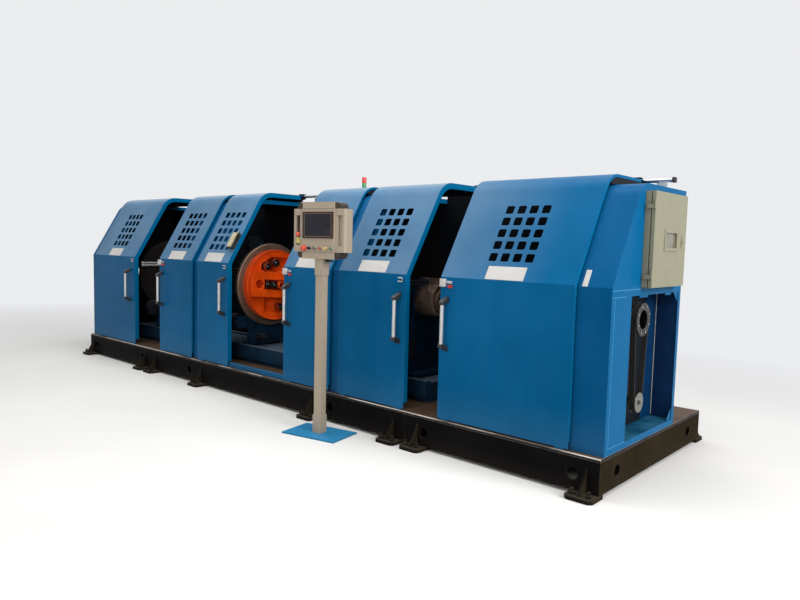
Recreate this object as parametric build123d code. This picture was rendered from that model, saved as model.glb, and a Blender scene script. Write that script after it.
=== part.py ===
from build123d import *
import math
import os

os.makedirs("parts", exist_ok=True)

# Millimetres. X runs along the machine from its left end, Y from the front edge of the base
# to the rear, and Z up from the shop floor.

# Base: three bolted lengths of channel frame on jacking feet, under a steel deck
base_length = 6800
base_depth = 1700
end_section_length = 1510
section_joint_gap = 3
foot_pad_thickness = 25
channel_height = 200
channel_flange = 75
channel_thickness = 12
deck_thickness = 20
end_section_beam_count = 2
middle_section_beam_count = 5
cut_margin = 1

# Feet
foot_pad_width = 180
foot_pad_front = 110
foot_pad_back = 45
foot_pad_corner = 22
foot_gusset_reach = 92
foot_gusset_rise = 150
foot_gusset_thickness = 14
foot_bolt_radius = 13
foot_bolt_spacing = 110
foot_bolt_out = 68
end_foot_inset = 85
joint_foot_offset = 118
middle_foot_offset = 1035

# Lifting holes
lifting_hole_radius = 38
lifting_hole_height = 98
end_section_hole_inset = 175
middle_section_hole_inset = 812
end_face_hole_inset = 238

# Covers: upright front, panel leaning back, rounded shoulder and flat top
cover_lean = 30
sheet_thickness = 3
housing_front = 44
housing_break_height = 1237
housing_top = 1868
housing_shoulder_radius = 150
cover_bend_radius = 12
housing_rear = 1136
housing_edge_depth = 40
left_housing_length = 440
inner_left_housing_start = 2040
inner_left_housing_length = 890
inner_right_housing_inset = 2070
inner_right_housing_length = 810
right_housing_length = 400

# Hoods that slide outside the fixed housings
hood_front_gap = 29
hood_break_rise = 5
hood_top_rise = 69
hood_shoulder_radius = 185
hood_lead_flange = 45
hood_trail_flange = 20
hood_flange_up = 55
hood_ground_gap = 10
hood_edge_gap = 5
glide_gap = 0.3
glide_width = 60
glide_depth = 8
glide_height = 25
hood_a_start = 131
hood_a_width = 1016
hood_b_start = 1709
hood_b_width = 644
hood_c_start = 2460
hood_c_width = 538
hood_d_inset = 2363
hood_d_width = 587
hood_e_inset = 1544
hood_e_width = 711
hood_f_inset = 215
hood_f_width = 1008

# Vent grid in the leaning panel of each hood
vent_columns = 4
vent_rows = 5
vent_pitch = 92
vent_size = 62
vent_corner = 8
vent_first_row = 170

# Handles
handle_pitch = 380
handle_middle_height = 918
handle_standoff = 55
handle_tube_radius = 14
handle_inset = 60
handle_inset_a = 115
handle_inset_d = 75
handle_end_width = 34
handle_end_height = 30

# Rear wall and the round rail that the hoods hang on
rear_wall_thickness = 4
rear_wall_drop = 12
rail_radius = 15
rail_y = 955
rail_drop = 7
rail_clearance = 0.3
rail_cap_length = 30
rail_cap_size = 44
rail_web = 8
rail_foot_width = 50
rail_foot_length = 70
rail_foot_thickness = 8
hanger_length = 60
hanger_wall = 12
hanger_reach = 45
hanger_slot = 18

# Machine axis and bed
axis_depth = 568
axis_height = 1020
bed_half_width = 268
bed_top = 415
bed_plinth_height = 40
bed_plinth_inset = 40
bed_rail_width = 60
bed_rail_height = 18
bed_end_inset = 460
bed_joint_inset = 60

# Taping heads: steel ring and hollow shaft
head_1_nose_end = 1213
head_2_face = 3015
head_3_nose_inset = 1645
head_turn = -4
ring_radius = 413
ring_thickness = 46
ring_chamfer = 6
shaft_radius = 90
shaft_bore_radius = 30
shaft_overhang = 20
bearing_clearance = 0.05

# Disc of the head, with its rim and its two pockets
disc_radius = 352
disc_thickness = 60
rim_width = 8
rim_proud = 6
pocket_depth = 35
pocket_corner = 12
pocket_bottom = 137
pocket_shoulder = 200
pocket_top = 278
pocket_left = 194
pocket_slope_end = 78
pocket_right = 130

# Frame of two bars across the disc, hub tube and rollers
frame_radius = 343
frame_half_height = 124
frame_proud = 60
window_half_height = 50
window_half_width = 188
hexagon_reach = 243
hexagon_radius = 48
hub_radius = 36
hub_proud = 95
roller_pin_radius = 12
roller_pin_proud = 6
roller_gap = 4
guide_roller_radius = 34
guide_roller_reaches = (72, 146)
guide_roller_proud = 85
tape_rollers = (((-53, 218), 40), ((-151, 176), 34))
tape_roller_proud = 60

# Stand of a head, with its bearing nose
nose_radius = 128
nose_length = 151
nose_recess_radius = 112
nose_recess_depth = 25
nose_block_start = 35
nose_block_half_width = 40
nose_block_top = 174
nose_block_root = 110
nose_rod_radius = 10
nose_rod_places = (125, 153)
nose_rod_start = 110
nose_rod_reach = 454
nose_rod_cap_length = 30
nose_rod_cap_radius = 15
stand_thickness = 56
stand_border = 26
stand_recess = 26
stand_gap = 12
stand_foot_half_width = 232
stand_head_radius = 175
stand_sole_reach = 70
stand_sole_height = 24
stand_ear_thickness = 22

# Motor on the flank of a stand, and feed cylinder below the disc
motor_radius = 85
motor_length = 91
motor_out = 310
motor_drop = 372
motor_cap_radius = 62
motor_cap_length = 10
motor_ear_half_height = 60
cylinder_radius = 40
cylinder_length = 142
cylinder_out = 138
cylinder_rise = 80
cylinder_rod_radius = 14
cylinder_rod_length = 24

# Tape reel on its arm behind the middle head
reel_out = 69
reel_rise = 395
reel_radius = 95
reel_core_radius = 80
reel_width = 50
reel_cheek = 5
reel_start = 35
reel_arm_half_width = 28
reel_spindle_radius = 12
reel_knob_radius = 16
reel_knob_length = 24

# Front sill in the middle station
sill_start = 2990
sill_inset = 2940
sill_front = 26
sill_depth = 28
sill_height = 42

# Belt bay in the end of the machine
bay_front = 320
bay_rear = 1097
bay_bottom = 287
bay_top = 1180
bay_depth = 150
bay_floor_thickness = 6
bay_floor_lip = 20
partition_thickness = 5
screen_thickness = 4
screen_setback = 3
bay_bracket_half_width = 24
bay_bracket_depth = 55
bay_bracket_gap = 12
bay_bracket_height = 92
upper_pulley_radius = 107
upper_pulley_bore = 61
upper_hub_radius = 75
upper_bearing_radius = 98
bearing_depth = 62
lower_pulley_radius = 65
lower_shaft_radius = 14
lower_boss_radius = 34
pulley_setback = 21
pulley_width = 46
pulley_centre_distance = 534
pulley_flange = 9
pulley_lip = 5
belt_thickness = 6
belt_width = 34
belt_clearance = 0.3

# Control cabinet on the end face
cabinet_front = 449
cabinet_width = 544
cabinet_bottom = 1230
cabinet_height = 590
cabinet_depth = 190
cabinet_proud = 36
cabinet_wall = 3
door_gap = 5
door_thickness = 22
hinge_inset = 80
hinge_setback = 9
hinge_barrel_radius = 7
hinge_barrel_length = 28
hinge_pin_radius = 3
hinge_gap = 0.3
hinge_leaf = 20
hinge_leaf_thickness = 8
window_left = 168
window_width = 228
window_bottom = 225
window_height = 137
window_frame = 21
window_frame_proud = 4
lock_setback = 70
lock_rise = 285
lock_radius = 12
lock_proud = 8
glass_thickness = 4

# Warning light on the rear wall
light_inset = 3146
light_out = 18
light_radius = 22
light_segment_height = 57
light_pole_radius = 9
light_top = 2115

# Control pendant, turned towards the right end
pendant_inset = 2145
pendant_y = -265
pendant_turn = 12
pendant_plate_length = 480
pendant_plate_width = 310
pendant_plate_thickness = 12
post_size = 65
sleeve_size = 76
lower_sleeve_height = 138
post_height = 1335
upper_sleeve_height = 123
panel_width = 290
panel_height = 320
panel_depth = 110
panel_cap_height = 50
corner_block_width = 50
corner_block_height = 46
corner_block_round = 30
side_profile_width = 95
side_profile_drop = 10
side_profile_corner = 14
side_groove_width = 34
side_groove_depth = 18
side_block_height = 48
side_block_width = 50
side_block_proud = 4
bezel_width = 278
bezel_height = 194
bezel_proud = 8
screen_width = 242
screen_height = 164
screen_recess = 2
screen_up = 40
button_row_up = -132
button_pitch = 50
button_radius = 12
stop_button_radius = 20
button_length = 22
button_count = 6

# Hand control that hangs on the third hood
hand_box_width = 60
hand_box_length = 218
hand_box_thickness = 50
hand_box_inset = 43
hand_box_up = 283
hand_box_tilt = 13.5
hand_box_corner = 12
hand_box_waist = 7
hand_box_waist_length = 96
hand_gland_radius = 10
hand_gland_length = 26

# Heights, edges and places that follow
base_top = foot_pad_thickness + channel_height
deck_top = base_top + deck_thickness
middle_start = end_section_length
middle_end = base_length - end_section_length
sections = [
    (0, middle_start - section_joint_gap / 2),
    (middle_start + section_joint_gap / 2, middle_end - section_joint_gap / 2),
    (middle_end + section_joint_gap / 2, base_length),
]
inner_left_housing_end = inner_left_housing_start + inner_left_housing_length
inner_right_housing_end = base_length - inner_right_housing_inset
inner_right_housing_start = inner_right_housing_end - inner_right_housing_length
right_housing_start = base_length - right_housing_length
bay_back_face = base_length - bay_depth
pulley_face = base_length - pulley_setback
head_3_nose_end = base_length - head_3_nose_inset
lean = math.radians(cover_lean)
housing_form = (housing_front, housing_break_height, housing_top, housing_shoulder_radius)
hood_front = housing_front - hood_front_gap - sheet_thickness
hood_break_height = housing_break_height + hood_break_rise
hood_top = housing_top + hood_top_rise
hood_form = (hood_front, hood_break_height, hood_top, hood_shoulder_radius)
rail_z = hood_top - rail_drop
hood_rear = rail_y - rail_radius - hood_edge_gap


def block(x, y, z):
    """A box between two limits on each axis."""
    size = [high - low for low, high in (x, y, z)]
    middle = [(high + low) / 2 for low, high in (x, y, z)]
    return Pos(*middle) * Box(*size)


def bar_x(radius, start, end, y, z):
    """A round bar along X."""
    return Pos((start + end) / 2, y, z) * Rot(0, 90, 0) * Cylinder(radius, end - start)


def bar_y(radius, start, end, x, z):
    """A round bar along Y."""
    return Pos(x, (start + end) / 2, z) * Rot(90, 0, 0) * Cylinder(radius, end - start)


def bar_z(radius, start, end, x, y):
    """A round bar along Z."""
    return Pos(x, y, (start + end) / 2) * Cylinder(radius, end - start)


def run_along_x(points, start, end):
    """A prism along X from an outline of (y, z) points."""
    face = make_face(Polyline(*points, close=True))
    return extrude(Plane.YZ.offset(start) * face, amount=end - start)


def join(pieces):
    """One solid from pieces that meet."""
    whole = pieces[0]
    for piece in pieces[1:]:
        whole = whole + piece
    return whole


def save(name, shape):
    """Writes one named piece."""
    parts[name] = shape
    export_step(shape, f"parts/{name}.step")


parts = {}


# Base beams, feet and deck


def channel_front(start, end):
    """A channel along X with its web at the front edge of the base."""
    low = foot_pad_thickness
    high = base_top
    web = channel_thickness
    points = [
        (0, low), (channel_flange, low), (channel_flange, low + web), (web, low + web),
        (web, high - web), (channel_flange, high - web), (channel_flange, high), (0, high),
    ]
    return run_along_x(points, start, end)


def foot(x):
    """A foot at the front edge: bolted pad under the beam and upright gusset before it."""
    pad = block(
        (x - foot_pad_width / 2, x + foot_pad_width / 2), (-foot_pad_front, foot_pad_back),
        (0, foot_pad_thickness),
    )
    front_corners = pad.edges().filter_by(Axis.Z).group_by(Axis.Y)[0]
    pad = chamfer(front_corners, foot_pad_corner)
    for side in (-1, 1):
        hole_x = x + side * foot_bolt_spacing / 2
        pad -= bar_z(
            foot_bolt_radius, -cut_margin, foot_pad_thickness + cut_margin, hole_x, -foot_bolt_out,
        )
    outline = [
        (0, foot_pad_thickness), (-foot_gusset_reach, foot_pad_thickness),
        (0, foot_pad_thickness + foot_gusset_rise),
    ]
    gusset = run_along_x(outline, x - foot_gusset_thickness / 2, x + foot_gusset_thickness / 2)
    return pad + gusset


def foot_places():
    """X of each foot along one edge."""
    left_half = [
        end_foot_inset, middle_start - joint_foot_offset, middle_start + joint_foot_offset,
        middle_start + middle_foot_offset,
    ]
    return left_half + [base_length - x for x in reversed(left_half)]


def lifting_hole_places():
    """X of the lifting holes in the long beams, section by section."""
    left = [end_section_hole_inset, middle_start - end_section_hole_inset]
    centre = [middle_start + middle_section_hole_inset, middle_end - middle_section_hole_inset]
    right = [middle_end + end_section_hole_inset, base_length - end_section_hole_inset]
    return [left, centre, right]


def long_beams():
    """The three front beams, one for each section."""
    beams = []
    hole_z = foot_pad_thickness + lifting_hole_height
    for (start, end), holes in zip(sections, lifting_hole_places()):
        beam = channel_front(start, end)
        for x in holes:
            beam -= bar_y(
                lifting_hole_radius, -cut_margin, channel_thickness + cut_margin, x, hole_z,
            )
        beams.append(beam)
    return beams


def mirrored_to_rear(shape):
    """The same piece at the rear edge of the base."""
    return Pos(0, base_depth, 0) * mirror(shape, Plane.XZ)


def end_beam():
    """The channel across the left end, with its two holes."""
    low = foot_pad_thickness
    high = base_top
    web = channel_thickness
    points = [
        (0, low), (channel_flange, low), (channel_flange, low + web), (web, low + web),
        (web, high - web), (channel_flange, high - web), (channel_flange, high), (0, high),
    ]
    face = make_face(Polyline(*points, close=True))
    beam_length = base_depth - 2 * channel_flange
    beam = extrude(Plane.XZ.offset(-channel_flange) * face, amount=-beam_length)
    for y in (end_face_hole_inset, base_depth - end_face_hole_inset):
        beam -= bar_x(
            lifting_hole_radius, -cut_margin, channel_thickness + cut_margin, y,
            foot_pad_thickness + lifting_hole_height,
        )
    return beam


def cross_beam(x):
    """An inner beam of I section between the long beams."""
    low = foot_pad_thickness
    high = base_top
    half = channel_flange / 2
    web = block(
        (x - channel_thickness / 2, x + channel_thickness / 2),
        (channel_flange, base_depth - channel_flange), (low, high),
    )
    flanges = [
        block((x - half, x + half), (channel_flange, base_depth - channel_flange), limits)
        for limits in ((low, low + channel_thickness), (high - channel_thickness, high))
    ]
    return join([web] + flanges)


def cross_beam_places():
    """X of each inner cross beam."""
    places = []
    counts = [end_section_beam_count, middle_section_beam_count, end_section_beam_count]
    for (start, end), count in zip(sections, counts):
        for number in range(count):
            places.append(start + (end - start) * (number + 1) / (count + 1))
    return places


front_beams = long_beams()
save("base_front_beams", Compound(front_beams))
save("base_rear_beams", Compound([mirrored_to_rear(beam) for beam in front_beams]))
front_feet = [foot(x) for x in foot_places()]
save("base_feet", Compound(front_feet + [mirrored_to_rear(piece) for piece in front_feet]))
left_end_beam = end_beam()
right_end_beam = Pos(base_length, 0, 0) * mirror(left_end_beam, Plane.YZ)
cross_beams = [cross_beam(x) for x in cross_beam_places()]
save("base_cross_beams", Compound([left_end_beam, right_end_beam] + cross_beams))
save("deck_plates", Compound([
    block(limits, (0, base_depth), (base_top, deck_top)) for limits in sections
]))


# Covers: the outline shared by the fixed housings and the sliding hoods


def cover_outline(form, inset, rear, bottom):
    """Outline of a cover in YZ, moved inwards from its outer skin by the inset."""
    front, break_z, top, radius = form
    y_front = front + inset
    z_break = break_z - inset * math.tan(lean / 2)
    z_top = top - inset
    y_shoulder = y_front + (z_top - z_break) * math.tan(lean)
    points = [
        (y_front, bottom), (y_front, z_break), (y_shoulder, z_top), (rear, z_top), (rear, bottom),
    ]
    face = make_face(Polyline(*points, close=True))
    for place, bend in (((y_shoulder, z_top, 0), radius), ((y_front, z_break, 0), cover_bend_radius)):
        corner = face.vertices().sort_by_distance(place)[0]
        face = fillet([corner], max(bend - inset, cut_margin))
    return face


def cover_prism(form, inset, rear, bottom, start, end):
    """A solid prism of a cover's outline along X."""
    face = cover_outline(form, inset, rear, bottom)
    return extrude(Plane.YZ.offset(start) * face, amount=end - start)


def cover_skin(form, rear, bottom, start, end):
    """The bent sheet of a cover, open below, at the rear and at both ends."""
    outer = cover_prism(form, 0, rear, bottom, start, end)
    return outer - cover_prism(
        form, sheet_thickness, rear + cut_margin, bottom - cut_margin, start - cut_margin,
        end + cut_margin,
    )


def cover_flange(form, depth, rear, bottom, start, end):
    """A flange that follows the inside of a cover's edge."""
    outer = cover_prism(form, sheet_thickness / 2, rear, bottom, start, end)
    return outer - cover_prism(
        form, depth, rear + cut_margin, bottom - cut_margin, start - cut_margin, end + cut_margin,
    )


def housing_edge(start):
    """The folded edge at the free end of a fixed housing."""
    return cover_flange(
        housing_form, housing_edge_depth, housing_rear, deck_top, start, start + sheet_thickness,
    )


def end_wall(start):
    """The sheet that closes one end of the machine."""
    return cover_prism(
        housing_form, sheet_thickness / 2, housing_rear, deck_top, start, start + sheet_thickness,
    )


strand_way = bar_x(
    upper_hub_radius, -cut_margin, sheet_thickness + cut_margin, axis_depth, axis_height,
)
save("housing_left", join([
    cover_skin(housing_form, housing_rear, deck_top, 0, left_housing_length),
    end_wall(0) - strand_way, housing_edge(left_housing_length - sheet_thickness),
]))

inner_housings = {
    "housing_inner_left": (inner_left_housing_start, inner_left_housing_end),
    "housing_inner_right": (inner_right_housing_start, inner_right_housing_end),
}
for name, (start, end) in inner_housings.items():
    save(name, join([
        cover_skin(housing_form, housing_rear, deck_top, start, end), housing_edge(start),
        housing_edge(end - sheet_thickness),
    ]))

wall_x = (base_length - sheet_thickness - cut_margin, base_length + cut_margin)
cabinet_y = (cabinet_front, cabinet_front + cabinet_width)
cabinet_z = (cabinet_bottom, cabinet_bottom + cabinet_height)
right_wall = end_wall(base_length - sheet_thickness)
right_wall -= block(wall_x, (bay_front, bay_rear), (bay_bottom, bay_top))
right_wall -= block(wall_x, cabinet_y, cabinet_z)
save("housing_right", join([
    cover_skin(housing_form, housing_rear, deck_top, right_housing_start, base_length),
    right_wall, housing_edge(right_housing_start),
]))


# Rear wall and top rail

wall_y = (housing_rear, housing_rear + rear_wall_thickness)
wall_top = hood_top - rear_wall_drop
open_stretches = (
    (left_housing_length, inner_left_housing_start),
    (inner_left_housing_end, inner_right_housing_start),
    (inner_right_housing_end, right_housing_start),
)


def rear_wall_panel(start, end):
    """One section of the rear wall, which stands higher between the fixed housings."""
    panel = block((start, end), wall_y, (deck_top, housing_top))
    for low, high in open_stretches:
        if low < end and high > start:
            panel += block((max(low, start), min(high, end)), wall_y, (deck_top, wall_top))
    return panel


save("rear_wall", Compound([rear_wall_panel(start, end) for start, end in sections]))

rail_start = rail_cap_length
rail_end = base_length - rail_cap_length
rail = bar_x(rail_radius, rail_start, rail_end, rail_y, rail_z)


def rail_foot(x):
    """A foot on top of a fixed housing with the thin web that carries the rail."""
    half = rail_foot_length / 2
    foot_plate = block(
        (x - half, x + half), (rail_y - rail_foot_width / 2, rail_y + rail_foot_width / 2),
        (housing_top, housing_top + rail_foot_thickness),
    )
    web = block(
        (x - half, x + half), (rail_y - rail_web / 2, rail_y + rail_web / 2), (housing_top, rail_z),
    )
    return foot_plate + web - rail


rail_foot_places = [
    rail_start + rail_foot_length, left_housing_length - rail_foot_length,
    inner_left_housing_start + rail_foot_length, inner_left_housing_end - rail_foot_length,
    inner_right_housing_start + rail_foot_length, inner_right_housing_end - rail_foot_length,
    right_housing_start + rail_foot_length, rail_end - rail_foot_length,
]
save("top_rail", rail)
save("rail_feet", Compound([rail_foot(x) for x in rail_foot_places]))
half_cap = rail_cap_size / 2
caps = [
    block((start, start + rail_cap_length), (rail_y - half_cap, rail_y + half_cap),
          (housing_top, rail_z + half_cap))
    for start in (rail_start - rail_cap_length, rail_end)
]
save("rail_end_blocks", Compound(caps))


# Sliding hoods

hood_d_start = base_length - hood_d_inset - hood_d_width
hood_e_start = base_length - hood_e_inset - hood_e_width
hood_f_start = base_length - hood_f_inset - hood_f_width
hoods = {
    "a": (hood_a_start, hood_a_width, 1, handle_inset_a),
    "b": (hood_b_start, hood_b_width, -1, handle_inset),
    "c": (hood_c_start, hood_c_width, 1, handle_inset),
    "d": (hood_d_start, hood_d_width, -1, handle_inset_d),
    "e": (hood_e_start, hood_e_width, 1, handle_inset),
    "f": (hood_f_start, hood_f_width, -1, handle_inset),
}
hood_bottom = deck_top + hood_ground_gap


def on_panel(x, up):
    """The plane on a hood's leaning panel, the given way up from its lower edge."""
    return Plane(
        origin=(x, hood_front + up * math.sin(lean), hood_break_height + up * math.cos(lean)),
        x_dir=(1, 0, 0), z_dir=(0, -math.cos(lean), math.sin(lean)),
    )


def vent_cutters(start, width):
    """The grid of square vents with cut corners in the leaning panel."""
    square = Rectangle(vent_size, vent_size)
    vent = chamfer(square.vertices(), vent_corner)
    cutters = []
    for row in range(vent_rows):
        for column in range(vent_columns):
            x = start + width / 2 + (column - (vent_columns - 1) / 2) * vent_pitch
            face = on_panel(x, vent_first_row + row * vent_pitch) * vent
            cutters.append(extrude(face, amount=2 * sheet_thickness, both=True))
    return cutters


def hanger(x):
    """The bearing under a hood's top that wraps the round rail, open below for its web."""
    under = hood_top - sheet_thickness
    low = rail_z - rail_radius - hanger_wall
    high = rail_z + rail_radius + hanger_wall
    outline = [
        (hood_rear - hanger_reach, low), (rail_y + rail_radius + hanger_wall, low),
        (rail_y + rail_radius + hanger_wall, high), (hood_rear, high), (hood_rear, under),
        (hood_rear - hanger_reach, under),
    ]
    start = x - hanger_length / 2
    end = x + hanger_length / 2
    lug = run_along_x(outline, start, end)
    start -= cut_margin
    end += cut_margin
    lug -= bar_x(rail_radius + rail_clearance, start, end, rail_y, rail_z)
    return lug - block(
        (start, end), (rail_y - hanger_slot / 2, rail_y + hanger_slot / 2),
        (low - cut_margin, rail_z),
    )


def glide(x):
    """The block at the foot of a hood that runs just above the deck."""
    return block(
        (x - glide_width / 2, x + glide_width / 2), (hood_front, hood_front + glide_depth),
        (deck_top + glide_gap, deck_top + glide_gap + glide_height),
    )


def hood(start, width, side):
    """One sliding hood, whose leading edge is at the right for side 1 and at the left for -1."""
    end = start + width
    lead = end - sheet_thickness if side > 0 else start
    trail = start if side > 0 else end - sheet_thickness
    flange_bottom = deck_top + hood_flange_up
    shell = cover_skin(hood_form, hood_rear, hood_bottom, start, end)
    for cutter in vent_cutters(start, width):
        shell -= cutter
    for edge, depth in ((lead, hood_lead_flange), (trail, hood_trail_flange)):
        shell += cover_flange(
            hood_form, depth, hood_rear, flange_bottom, edge, edge + sheet_thickness,
        )
    for x in (start + hanger_length, end - hanger_length):
        shell += hanger(x)
        shell += glide(x)
    return shell


def handle(start, width, side, inset):
    """A round tube between two moulded end brackets."""
    x = start + width - inset if side > 0 else start + inset
    y = hood_front - handle_standoff
    low = handle_middle_height - handle_pitch / 2
    high = low + handle_pitch
    pieces = [bar_z(handle_tube_radius, low, high, x, y)]
    for z in (low, high):
        bottom = z - handle_end_height / 2
        top = z + handle_end_height / 2
        pieces.append(bar_z(handle_end_width / 2, bottom, top, x, y))
        pieces.append(block(
            (x - handle_end_width / 2, x + handle_end_width / 2), (y, hood_front), (bottom, top),
        ))
    return join(pieces)


for letter, (start, width, side, inset) in hoods.items():
    save(f"hood_{letter}", hood(start, width, side))
    save(f"handle_{letter}", handle(start, width, side, inset))


# Bed under the heads and sill in front of it


def bed_length(start, end):
    """One length of the raised bed with its two rails."""
    low = axis_depth - bed_half_width
    high = axis_depth + bed_half_width
    rail_bottom = bed_top - bed_rail_height
    plinth_top = deck_top + bed_plinth_height
    pieces = [
        block((start, end), (low + bed_plinth_inset, high - bed_plinth_inset), (deck_top, plinth_top)),
        block((start, end), (low, high), (plinth_top, rail_bottom)),
        block((start, end), (low, low + bed_rail_width), (rail_bottom, bed_top)),
        block((start, end), (high - bed_rail_width, high), (rail_bottom, bed_top)),
    ]
    return join(pieces)


save("bed", Compound([
    bed_length(bed_end_inset, middle_start - bed_joint_inset),
    bed_length(middle_start + bed_joint_inset, middle_end - bed_joint_inset),
    bed_length(middle_end + bed_joint_inset, base_length - bed_end_inset),
]))
sill_end = base_length - sill_inset
save("front_sill", block(
    (sill_start, sill_end), (sill_front, sill_front + sill_depth), (deck_top, deck_top + sill_height),
))


# Taping heads, each drawn round the machine's axis with its nose end at X zero and its disc
# towards +X. Places across the axis are distances out of it along Y and Z.

stand_front = nose_length + stand_thickness
wheel_back = stand_front + stand_gap
disc_back = wheel_back + ring_thickness
disc_front = disc_back + disc_thickness
stand_bottom = bed_top - axis_height


def along_axis(profile, start, end):
    """A prism along X from a flat profile drawn round the axis."""
    return extrude(Plane.YZ.offset(start) * profile, amount=end - start)


def pin(radius, start, end, out=0, up=0):
    """A round bar along X at a place out of the axis."""
    return bar_x(radius, start, end, out, up)


strand_bore = pin(shaft_bore_radius, -2 * shaft_overhang, disc_front + 2 * hub_proud)


def stand_outline(inset):
    """A foot that tapers to a round head, drawn inwards by the inset."""
    low = stand_bottom + inset
    foot_half = stand_foot_half_width - inset
    head_half = stand_head_radius - inset
    legs = Polyline(
        (-foot_half, low), (foot_half, low), (head_half, 0), (-head_half, 0), close=True,
    )
    return make_face(legs) + Circle(head_half)


def head_stand():
    """The upright casting: recessed plate, sole, bearing nose and the ear for the motor."""
    stand = along_axis(stand_outline(0), nose_length, stand_front)
    stand -= along_axis(stand_outline(stand_border), nose_length - cut_margin, nose_length + stand_recess)
    stand += block(
        (nose_length - stand_sole_reach, stand_front), (-stand_foot_half_width, stand_foot_half_width),
        (stand_bottom, stand_bottom + stand_sole_height),
    )
    stand += block(
        (nose_length, nose_length + stand_ear_thickness), (-motor_out, -stand_head_radius),
        (-motor_drop - motor_ear_half_height, -motor_drop + motor_ear_half_height),
    )
    stand += pin(
        motor_ear_half_height, nose_length, nose_length + stand_ear_thickness, -motor_out, -motor_drop,
    )
    stand += pin(nose_radius, 0, stand_front)
    stand -= pin(nose_recess_radius, -cut_margin, nose_recess_depth)
    stand += block(
        (nose_block_start, stand_front), (-nose_block_half_width, nose_block_half_width),
        (nose_block_root, nose_block_top),
    )
    for up in nose_rod_places:
        stand += bar_y(nose_rod_radius, -nose_rod_reach, 0, nose_rod_start, up)
        stand += bar_y(
            nose_rod_cap_radius, -nose_rod_reach, -nose_rod_reach + nose_rod_cap_length, nose_rod_start,
            up,
        )
    return stand - pin(shaft_radius + bearing_clearance, -cut_margin, stand_front + cut_margin)


def reel_arm():
    """The arm and spindle that carry the tape reel, rooted in the stand's head."""
    arm = block(
        (nose_length, nose_length + stand_ear_thickness),
        (-reel_out - reel_arm_half_width, -reel_out + reel_arm_half_width),
        (nose_radius, reel_rise),
    )
    arm += pin(reel_arm_half_width, nose_length, nose_length + stand_ear_thickness, -reel_out, reel_rise)
    return arm + pin(reel_spindle_radius, reel_start, nose_length, -reel_out, reel_rise)


def tape_reel():
    """A wound reel with two cheeks and a knob at its end, on the spindle."""
    reel_end = reel_start + reel_width
    reel = pin(reel_core_radius, reel_start, reel_end, -reel_out, reel_rise)
    for start in (reel_start, reel_end - reel_cheek):
        reel += pin(reel_radius, start, start + reel_cheek, -reel_out, reel_rise)
    reel -= pin(
        reel_spindle_radius + bearing_clearance, reel_start, reel_end + cut_margin, -reel_out, reel_rise,
    )
    return reel + pin(
        reel_knob_radius, reel_start - reel_knob_length, reel_start, -reel_out, reel_rise,
    )


def head_wheel():
    """The steel ring on its hollow shaft."""
    ring = pin(ring_radius, wheel_back, disc_back)
    ring = chamfer(ring.edges().filter_by(GeomType.CIRCLE), ring_chamfer)
    return ring + pin(shaft_radius, -shaft_overhang, wheel_back) - strand_bore


def pocket_outline():
    """The five-sided pocket above the bars of the head."""
    outline = make_face(Polyline(
        (-pocket_slope_end, pocket_top), (-pocket_left, pocket_shoulder), (-pocket_left, pocket_bottom),
        (pocket_right, pocket_bottom), (pocket_right, pocket_top), close=True,
    ))
    return fillet(outline.vertices(), pocket_corner)


def bar_frame():
    """The two bars across the disc, joined at both ends by webs with a six-sided hole."""
    outline = Circle(frame_radius) & Rectangle(2 * frame_radius, 2 * frame_half_height)
    outline -= Rectangle(2 * window_half_width, 2 * window_half_height)
    for side in (-1, 1):
        outline -= Pos(side * hexagon_reach, 0) * RegularPolygon(hexagon_radius, 6)
    return along_axis(outline, disc_front, disc_front + frame_proud)


def head_disc():
    """The front disc with its rim, pockets, bar frame and hub tube."""
    disc = pin(disc_radius, disc_back, disc_front + rim_proud)
    disc -= pin(disc_radius - rim_width, disc_front, disc_front + rim_proud + cut_margin)
    pocket = along_axis(pocket_outline(), disc_front - pocket_depth, disc_front + cut_margin)
    disc -= pocket
    disc -= Rot(180, 0, 0) * pocket
    disc += bar_frame()
    disc += pin(hub_radius, disc_front, disc_front + hub_proud)
    return Rot(head_turn, 0, 0) * (disc - strand_bore)


def roller(radius, seat, proud, out, up):
    """One roller on its pin, from its seat to the given distance before the disc's face."""
    face = disc_front + proud
    body = pin(radius, seat + roller_gap, face - roller_pin_proud, out, up)
    return body + pin(roller_pin_radius, seat, face, out, up)


def head_rollers():
    """The guide rollers between the bars and the tape rollers in the pockets."""
    rollers = []
    for side in (-1, 1):
        for reach in guide_roller_reaches:
            rollers.append(roller(
                guide_roller_radius, disc_front, guide_roller_proud, side * reach, 0,
            ))
        for (out, up), radius in tape_rollers:
            rollers.append(roller(
                radius, disc_front - pocket_depth, tape_roller_proud, side * out, side * up,
            ))
    return Rot(head_turn, 0, 0) * Compound(rollers)


def drive_motor():
    """The motor on the ear of the stand, with its stepped end."""
    start = nose_length - motor_length
    body = pin(motor_radius, start, nose_length, -motor_out, -motor_drop)
    return body + pin(motor_cap_radius, start - motor_cap_length, start, -motor_out, -motor_drop)


def feed_cylinder():
    """The cylinder on the disc side of the stand, close above the bed."""
    up = stand_bottom + cylinder_rise
    end = stand_front + cylinder_length
    body = pin(cylinder_radius, stand_front, end, -cylinder_out, up)
    return body + pin(cylinder_rod_radius, end, end + cylinder_rod_length, -cylinder_out, up)


def set_in_place(drawing, nose_end, direction):
    """A head's drawing moved to the machine's axis, its disc towards +X or towards -X."""
    turned = drawing if direction > 0 else mirror(drawing, Plane.YZ)
    return Pos(nose_end, axis_depth, axis_height) * turned


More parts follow.
